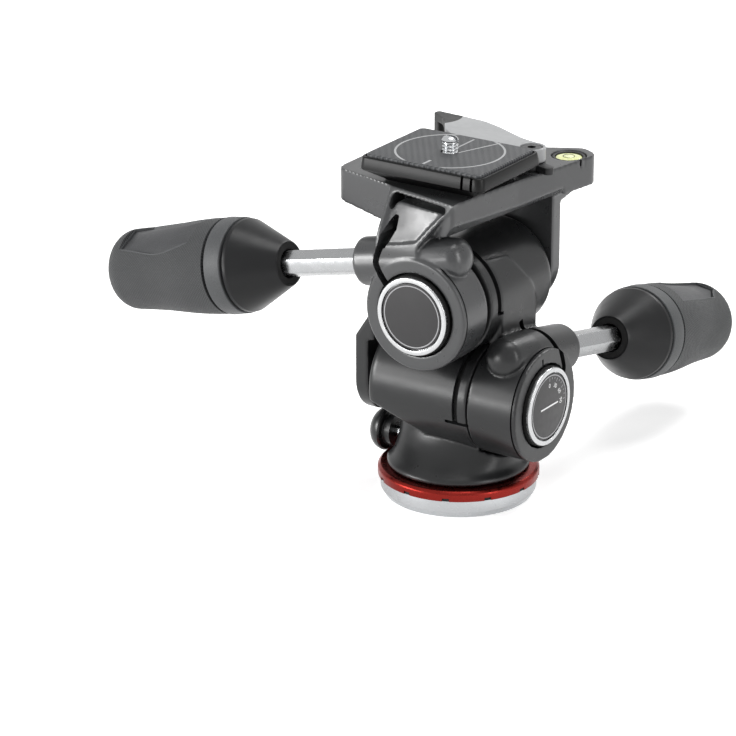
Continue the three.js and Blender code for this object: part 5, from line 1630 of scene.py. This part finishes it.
@dataclass
class QuickPlate:
    """Quick release plate with its ribbed pad, the lines on it and its side notches."""

    low: float = 124.8
    top: float = 134.3
    high: float = 135.3
    hole: float = 3.475

    def outline(self, width: float, depth: float, corner: float) -> list[Flat]:
        """Return an oblong about the plate's middle."""
        return oblong(PLATE_SPOT, width, depth, corner)

    def plate(self) -> Shape:
        """Return the plate with its bevelled rim, pocket, hole, notches and the seat of its pad."""
        low, wide, deep = self.low, *PLATE_SIZE
        body = loft([
            (low, self.outline(40, 29, 1.6)), (low + 0.5, self.outline(41, 30, 2)),
            (low + 4.4, self.outline(53.4, 42.4, 3)), (low + 4.8, self.outline(wide, deep, 3)),
            (low + 6, self.outline(wide, deep, 3)), (self.top - 0.6, self.outline(53.2, 42.2, 3)),
            (self.top - 0.2, self.outline(52.9, 41.9, 2.9)), (self.top, self.outline(52.4, 41.4, 2.7)),
        ])
        x, y = PLATE_SPOT
        notches = []
        for back in (4, 8):
            right = x + wide / 2 - back
            notches.append(block((right - 1.1, y - 22.5, low + 4.2), (right, y - 19.1, self.top + OVER)))
        holes = [rod(11, low - OVER, low + 5.7), rod(self.hole, low, self.high, PLAIN)]
        seat = prism(self.outline(51.3, 40.3, 2.6), self.top - 0.6, self.top + OVER)
        return body.cut(*carried(holes, above(PLATE_SPOT)), *notches, seat)

    def pad(self) -> Shape:
        """Return the rubber pad on the plate."""
        low = self.top - 0.5
        body = loft([
            (low, self.outline(50, 39, 2)), (self.high - 0.45, self.outline(50, 39, 2)),
            (self.high - 0.12, self.outline(49.6, 38.6, 1.9)), (self.high, self.outline(49, 38, 1.8)),
        ])
        return body.cut(rod(self.hole, low - OVER, self.high + OVER, PLAIN).moved(above(PLATE_SPOT)))

    def lines(self) -> Shape:
        """Return the circle, the two aiming lines and the front tick printed on the pad."""
        low, high, half = self.high - 0.1, self.high + 0.04, 0.36
        room = prism(self.outline(48.4, 37.4, 1.8), low - OVER, high + OVER)
        turn = above((3.7, 0)) @ spun(math.radians(69.6))
        marks = [
            block((-half, 4, low), (half, 17, high)), block((0, -half, low), (21.5, half, high)).moved(turn),
            block((-0.5, -18.6, low), (0.5, -13.4, high)),
        ]
        return ring(20.0, 20.8, low, high, 160).join(*marks).moved(above(PLATE_SPOT)).keep(room)

    def build(self) -> None:
        """Make and place the plate's pieces."""
        place(self.plate(), "release_plate", HEAD, PLATE_BLACK, Body.TOP, ["plate_body"])
        place(self.pad(), "release_plate_pad", HEAD, PAD, Body.TOP, ["plate_pad"])
        place(self.lines(), "release_plate_lines", HEAD, PAD_LINE, Body.TOP)


@dataclass
class CameraScrew:
    """Camera screw through the plate, with its thread, driver slots and folding ring."""

    head_low: float = 128.0
    head_high: float = 130.2
    radius: float = 3.175
    head: float = 8.0
    top: float = 141.3
    pitch: float = 1.27
    slot_half: float = 0.65

    def screw(self) -> Shape:
        """Return the screw."""
        rows = threaded(self.radius, self.head_high + 1.4, self.top - 1.5, self.pitch, 0.62)
        head = [self.head] * ROUND
        body = wound([
            (self.head_low, [self.head - 0.3] * ROUND), (self.head_low + 0.3, head), (self.head_high, head),
            (self.head_high, [2.6] * ROUND), (self.head_high + 1.3, [2.6] * ROUND), *rows,
            (self.top - 0.5, [2.5] * ROUND), (self.top - 0.12, [1.9] * ROUND), (self.top, [0.9] * ROUND),
        ], closed=False)
        return body.cut(
            block((-9, -self.slot_half, self.head_low - OVER), (9, self.slot_half, self.head_low + 0.7)),
            block((-4.2, -self.slot_half, self.top - 1.4), (4.2, self.slot_half, self.top + OVER)),
        )

    def fold_ring(self) -> Shape:
        """Return the wire ring folded flat under the screw's head."""
        wire, middle, high = 0.7, 8.2, 127.0
        profile = [(middle + wire * math.cos(a), high + wire * math.sin(a)) for a in fan(TURN, 14)]
        return lathe(profile, FINE, closed=True)

    def build(self) -> None:
        """Make and place the screw and its ring."""
        spot = above(PLATE_SPOT)
        place(self.screw(), "quarter_inch_screw", spot, STEEL, Body.CAMERA_SCREW, ["camera_screw"])
        place(self.fold_ring(), "folding_ring", spot, STEEL, Body.CAMERA_SCREW, ["screw_fold_ring"])


@dataclass
class ReleaseLever:
    """Quick release lever with its dark thumb tab, on its pivot screw, over the safety catch."""

    blade_top: float = 133.2
    blade_low: float = 130.2
    hub_low: float = 127.7
    tab_low: float = 122.4
    hub: float = 5.4
    hole: float = 2.8
    thumb: float = 10.5
    voxel: float = 0.32
    thumb_spot: Flat = (-36.5, 39.5)
    blade: list[Flat] = field(default_factory=lambda: [
        (0.45, 0.651), (0.42, 0.735), (0.187, 0.809), (-0.072, 0.972), (-0.228, 1.047), (-0.428, 1.074),
        (-0.643, 1.093), (-0.654, 1.028), (-0.535, 0.935), (-0.454, 0.814), (-0.369, 0.651), (-0.239, 0.535),
        (-0.072, 0.514), (0.335, 0.514), (0.42, 0.549),
    ])
    tab: list[Flat] = field(default_factory=lambda: [
        (-0.439, 1.074), (-0.643, 1.093), (-0.654, 1.028), (-0.598, 0.984), (-0.565, 1.019), (-0.45, 1.0),
    ])

    def beside(self, shares: Sequence[Flat], round_by: float) -> list[Flat]:
        """Return shares of the plate's size as places about its middle, corners rounded."""
        (x, y), (wide, deep) = PLATE_SPOT, PLATE_SIZE
        corners = [(x + wide * across, y + deep * along, round_by) for across, along in shares]
        return rounded(corners, closed=True, steps=5)

    def body(self) -> Shape:
        """Return the blade with its hub, tab and screw seat."""
        spot = above(LEVER_SPOT)
        blade = prism(self.beside(self.blade, 3.2), self.blade_low, self.blade_top)
        hub = rod(self.hub, self.hub_low, self.blade_top, PLAIN).moved(spot)
        tab = prism(self.beside(self.tab, 1), self.tab_low, self.blade_top)
        seat = lathe([
            (0, self.hub_low - OVER), (self.hole, self.hub_low - OVER), (self.hole, 131.3), (4.3, 131.3),
            (4.3, 134.2), (0, 134.2),
        ], PLAIN).moved(spot)
        return blade.join(hub, tab).cut(seat)

    def thumb_room(self) -> Shape:
        """Return the round room that the dark thumb tab takes of the lever's end."""
        room = rod(self.thumb, self.tab_low - OVER, self.blade_top + OVER, PLAIN)
        return room.moved(above(self.thumb_spot))

    def screw(self) -> Shape:
        """Return the pivot screw with its socket."""
        body = lathe([
            (0, 114), (2.5, 114, 0.4), (2.5, 131.6), (4, 131.6), (4, 132.9, 0.4), (0, 132.9),
        ], PLAIN)
        return body.cut(prism(hexagon(3), 131.5, 134))

    def catch(self) -> Shape:
        """Return the safety catch that turns on the same screw."""
        low, high, half, reach = 124.8, 127.4, 2.1, 9.6
        end = rod(half, low, high, HIDDEN).moved(above((reach, 0)))
        arm = rod(self.hub, low, high, PLAIN).join(block((0, -half, low), (reach, half, high)), end)
        return arm.cut(rod(self.hole, low - OVER, high + OVER, COARSE)).bevel(0.3)

    def build(self) -> None:
        """Make and place the lever, its screw and the catch."""
        spot = above(LEVER_SPOT)
        lever = self.body().soften(self.voxel, 5).cut(self.thumb_room())
        place(lever, "lever_blade", HEAD, LEVER_GREY, Body.LEVER, ["quick_release_lever"])
        thumb = self.body().soften(self.voxel, 5).keep(self.thumb_room())
        place(thumb, "lever_thumb_tab", HEAD, TAB_DARK, Body.LEVER)
        place(self.screw(), "lever_screw", spot, DARK_STEEL, Body.TOP, ["lever_pivot_screw"])
        turn = spun(math.radians(-18))
        place(self.catch(), "catch_arm", spot @ turn, BLACK_PLASTIC, Body.CATCH, ["safety_catch"])


# Handles


@dataclass
class Handle:
    """One handle along its clamp axis: hexagonal rod, washer, stop, sleeve, collar and rubber grip."""

    prefix: str
    matrix: Matrix
    rod_body: Body
    grip_body: Body
    out: float
    pad_turn: float
    pad_sides: Flat
    across: float = 9.2
    hex_from: float = 25.4
    hex_to: float = 104.0
    thread_radius: float = 2.95
    thread_from: float = -10.4
    mouth: float = 66.0
    seam: float = 85.3
    radius: float = 18.5
    band_end: float = 93.1
    end: float = 146.85
    end_radius: float = 15.8
    end_round: float = 9.0
    bore: float = 9.4
    bore_end: float = 144.3
    pad_from: float = 101.0
    pad_to: float = 138.0

    def rod(self) -> Shape:
        """Return the hexagonal rod with its chamfered ends and its thread."""
        bar = loft([
            (self.hex_from, hexagon(self.across - 1)), (self.hex_from + 0.5, hexagon(self.across)),
            (self.hex_to - 0.5, hexagon(self.across)), (self.hex_to, hexagon(self.across - 1)),
        ]).bevel(0.35, 3)
        rows = threaded(self.thread_radius, self.thread_from, self.hex_from - 1.2, 1.25, 0.55)
        neck = [(self.hex_from - 1, [2.4] * ROUND), (self.hex_from + OVER, [2.4] * ROUND)]
        bolt = wound([*rows, *neck], closed=False)
        return bar.join(bolt).cut(rod(2.3, self.hex_to - 8, self.hex_to + OVER, HIDDEN))

    def profile(self, low: float, high: float) -> list[Flat]:
        """Return the rubber's outside between two heights."""
        corners = [(self.band_end, self.radius + 0.1), (self.band_end + 14, self.radius - 0.25),
                   (self.end - 22, self.end_radius + 0.75), (self.end - 9, self.end_radius)]
        line = [(radius, height) for height, radius in smooth_line(corners, 6)]
        reach = self.end_round
        line += [
            (self.end_radius - reach + reach * math.cos(a), self.end - reach + reach * math.sin(a))
            for a in fan(RIGHT_ANGLE, 12)[1:]
        ]
        return [(radius, height) for radius, height in line if low <= height <= high]

    def rubber(self) -> Shape:
        """Return the knurled rubber of the grip."""
        low = self.band_end
        body = lathe([
            (self.bore, low), *self.profile(low, self.end), (self.end_radius - self.end_round, self.end),
            (0, self.end), (0, self.bore_end), (self.bore, self.bore_end), (self.bore, low),
        ], FINEST)
        return body.cut(self.pad_cutter(0.0, 2.0))

    def band(self) -> Shape:
        """Return the smooth band beside the collar."""
        low = self.seam + 0.8
        return lathe([
            (self.bore, low), (self.radius, low, 0.5), (self.radius + 0.35, self.band_end, 0.2),
            (self.bore, self.band_end),
        ], FINEST, closed=True)

    def pad_outline(self, inset: float) -> list[Flat]:
        """Return the thumb pad's outline as (along, round) places, in millimetres.

        Args:
            inset: how far the outline lies inside the pad's edge.

        Returns:
            The outline, with a slanted end beside the band and a waved lower edge.
        """
        low, high = self.pad_from + inset, self.pad_to - inset
        top, foot = self.pad_sides[1] - inset, self.pad_sides[0] + inset
        wave = smooth_line([
            (high, foot + 3.4), (high - 6, foot + 2.2), (high - 19, foot - 0.2), (low + 8, foot + 1.6),
            (low + 1.5, foot + 4),
        ], 6)
        return [(low, top), (high - 6, top), (high, top - 5), *wave]

    def wrapped(self, outline: Sequence[Flat], deep: float, proud: float) -> Shape:
        """Wrap an outline round the grip.

        Args:
            outline: (along, round) places.
            deep: how far the shape reaches below the rubber's surface.
            proud: how far it reaches above it.

        Returns:
            The closed shape, to cut with or to lay on.
        """
        places = [Vector(point) for point in outline]
        centre = sum(places, Vector((0, 0))) / len(places)
        mesh = bmesh.new()

        def corner(at: Vector, lift: float) -> bmesh.types.BMVert:
            """Add a corner over a place on the rubber."""
            radius, angle = self.radius_at(at.x) + lift, at.y / self.radius
            return mesh.verts.new((radius * math.cos(angle), radius * math.sin(angle), at.x))

        layers: list[list[Corners]] = []
        for lift in (-deep, proud):
            rings = [
                [corner(centre + (at - centre) * share, lift) for at in places]
                for share in (1.0, 0.8, 0.6, 0.4, 0.2)
            ]
            layers.append([*rings, [corner(centre, lift)]])
        for rings in layers:
            for outer, inner in zip(rings, rings[1:]):
                skin(mesh, outer, inner)
        skin(mesh, layers[0][0], layers[1][0])
        return Shape(mesh)

    def radius_at(self, height: float) -> float:
        """Return the rubber's radius at a height along the grip."""
        line = self.profile(0, self.end + OVER)
        for (first, low), (second, high) in zip(line, line[1:]):
            if low <= height <= high:
                return first + (second - first) * (height - low) / max(high - low, 1e-6)
        return line[0][0]

    def pad_cutter(self, inset: float, deep: float) -> Shape:
        """Return the cutter of the sunk thumb pad."""
        return self.wrapped(self.pad_outline(inset), deep, 3.0).moved(spun(self.pad_turn))

    def pad(self) -> Shape:
        """Return the smooth bare pad laid in its sunk place."""
        outline = self.pad_outline(1.0)
        return self.wrapped(outline, 2.3, -1.0).moved(spun(self.pad_turn))

    def pad_lip(self) -> Shape:
        """Return the fine moulded lip round the thumb pad."""
        inside = self.wrapped(self.pad_outline(0.6), 3.0, 3.0)
        lip = self.wrapped(self.pad_outline(0.0), 2.1, 0.05).cut(inside)
        return lip.moved(spun(self.pad_turn))

    def collar(self) -> Shape:
        """Return the conical collar."""
        low = self.mouth + 0.1
        return lathe([
            (8.1, low), (8.5, low, 0.15), (9.1, self.mouth + 0.9), (17.9, self.seam - 1.8, 1.2),
            (18.1, self.seam - 0.6, 0.4), (17.7, self.seam, 0.3), (self.bore, self.seam), (self.bore, 70.7),
            (8.1, 70.7),
        ], FINEST, closed=True)

    def mouth_shade_ring(self) -> Shape:
        """Return the black ring of painted shade in the collar's mouth."""
        low, high = self.mouth + 0.1, self.mouth + 4
        return lathe([(5.6, low, 0.3), (8.0, low), (8.0, high), (5.6, high)], ROUND, closed=True)

    def build(self) -> None:
        """Make and place the handle's pieces."""
        grip = self.matrix @ Matrix.Translation((0, 0, self.out))
        name = self.prefix
        place(self.rod(), f"{name}_hex_rod", self.matrix, ROD_STEEL, self.rod_body, [f"{name}_rod"])
        rubber = knurled(self.rubber(), self.radius)
        place(rubber, f"{name}_rubber", grip, GRIP, self.grip_body, [f"{name}_grip"])
        place(self.band(), f"{name}_rubber_band", grip, GRIP_BAND, self.grip_body)
        place(self.pad(), f"{name}_thumb_pad", grip, THUMB_PAD, self.grip_body)
        place(self.pad_lip(), f"{name}_thumb_pad_lip", grip, GRIP_BAND, self.grip_body)
        place(self.collar(), f"{name}_cone", grip, COLLAR_BLACK, self.grip_body, [f"{name}_grip_collar"])
        # A black ring of painted shade sits in the collar's mouth.
        place(self.mouth_shade_ring(), f"{name}_mouth_shade_ring", grip, SHADOW_BLACK, self.grip_body)
        dress(f"{name}_rod_washer", NYLON)
        dress(f"{name}_rod_stop", STEEL)
        dress(f"{name}_grip_sleeve", BLACK_PLASTIC)


# Studio


@dataclass
class Studio:
    """Pale floor, soft lamps and the camera."""

    azimuth: float = math.radians(33.46)
    elevation: float = math.radians(20.93)
    distance: float = 1.41
    target: Place = (0, 0, 0.07)
    aside: Flat = (-0.03467, -0.01918)
    lens: float = 182.8

    def axes(self) -> tuple[Vector, Vector, Vector]:
        """Return the camera's right, up and backward directions."""
        flat, rise = math.cos(self.elevation), math.sin(self.elevation)
        back = Vector((math.sin(self.azimuth) * flat, -math.cos(self.azimuth) * flat, rise))
        right = Vector((math.cos(self.azimuth), math.sin(self.azimuth), 0))
        return right, back.cross(right), back

    def camera(self) -> None:
        """Stand the camera where the photograph was taken from."""
        right, up, back = self.axes()
        data = bpy.data.cameras.new("camera")
        data.lens = self.lens
        data.sensor_width = 36
        data.clip_start = 0.05
        camera = bpy.data.objects.new("camera", data)
        place_at = Vector(self.target) + right * self.aside[0] + up * self.aside[1] + back * self.distance
        camera.matrix_world = Matrix.Translation(place_at) @ Matrix((
            (right.x, up.x, back.x, 0), (right.y, up.y, back.y, 0), (right.z, up.z, back.z, 0), (0, 0, 0, 1)))
        bpy.context.scene.collection.objects.link(camera)
        bpy.context.scene.camera = camera

    def lamp(self, name: str, place_at: Place, size: Flat, watts: float) -> None:
        """Hang one soft lamp that looks at the head.

        Args:
            name: the lamp's name.
            place_at: where it hangs, in metres.
            size: its width and height.
            watts: its power.
        """
        data = bpy.data.lights.new(name, "AREA")
        data.shape = "RECTANGLE"
        data.size, data.size_y = size
        data.energy = watts
        lamp = bpy.data.objects.new(name, data)
        lamp.location = place_at
        look = Vector(place_at) - Vector((0, 0, 0.08))
        lamp.rotation_euler = look.to_track_quat("Z", "Y").to_euler()
        bpy.context.scene.collection.objects.link(lamp)

    def pale(self, tree: bpy.types.NodeTree) -> Socket:
        """Return a value that is one for camera, glossy and transmission rays."""
        path = add(tree, "LightPath")
        seen = reckon(tree, "MAXIMUM", path.outputs["Is Camera Ray"], path.outputs["Is Glossy Ray"])
        return reckon(tree, "MAXIMUM", seen, path.outputs["Is Transmission Ray"])

    def world(self) -> None:
        """Make the room white to the eye and dimmer as a lamp."""
        world = bpy.data.worlds.new("room")
        bpy.context.scene.world = world
        world.use_nodes = True
        tree = world.node_tree
        tree.links.new(ranged(tree, self.pale(tree), 0.3, 1.0), tree.nodes["Background"].inputs["Strength"])
        tree.nodes["Background"].inputs["Color"].default_value = (1, 1, 1, 1)

    def floor(self) -> None:
        """Lay the pale floor under the head."""
        mesh = bmesh.new()
        bmesh.ops.create_grid(mesh, x_segments=8, y_segments=8, size=6)
        data = bpy.data.meshes.new("floor")
        mesh.to_mesh(data)
        mesh.free()
        floor = bpy.data.objects.new("floor", data)
        bpy.context.scene.collection.objects.link(floor)
        wiring = Wiring("floor")
        wiring.set(Roughness=0.9, Specular_IOR_Level=0.1)
        wiring.blend(wiring.noise(0.6), (0.9, 0.9, 0.9), (0.93, 0.93, 0.93))
        glow = ranged(wiring.tree, self.pale(wiring.tree), 0.0, 0.5)
        wiring.tree.links.new(glow, wiring.shader.inputs["Emission Strength"])
        wiring.set(Emission_Color=(1, 1, 1, 1))
        data.materials.append(wiring.material)

    def build(self) -> None:
        """Set the camera, the room, the floor and the lamps."""
        bpy.context.scene.view_settings.view_transform = "Standard"
        self.camera()
        self.world()
        self.floor()
        self.lamp("overhead", (0.1, 0.1, 1.3), (0.7, 0.7), 9)
        self.lamp("key", (-0.88, -0.88, 0.42), (0.28, 0.34), 9)
        self.lamp("low", (-0.62, -0.98, 0.13), (0.5, 0.14), 4.5)
        self.lamp("rim", (0.1, 0.95, 0.9), (0.5, 0.3), 6)
        self.lamp("side", (1.15, -0.2, 0.5), (0.2, 0.9), 5)


def main() -> None:
    """Build the head's sub-assemblies in order, then the studio."""
    logging.basicConfig(level=logging.INFO, format="%(name)s: %(message)s")
    assemblies = [
        Base(),
        PanHousing(),
        PanLock(),
        DialStack("tilt", LOWER_BARREL, Body.PAN, 40.1, True),
        MidBracket(),
        DialStack("side", UPPER_BARREL, Body.MID, 34.1, False),
        Platform(),
        Level(),
        QuickPlate(),
        CameraScrew(),
        ReleaseLever(),
        Handle("tilt", LOWER_CLAMP, Body.TILT_HANDLE, Body.TILT_GRIP, 1.0, math.radians(-80), (-9, 10)),
        Handle("side", UPPER_CLAMP, Body.SIDE_HANDLE, Body.SIDE_GRIP, -2.0, math.radians(-25), (-10.5, 14)),
        Studio(),
    ]
    for assembly in assemblies:
        log.info("building %s", type(assembly).__name__)
        assembly.build()
    bpy.context.view_layer.update()


if __name__ == "__main__":
    main()
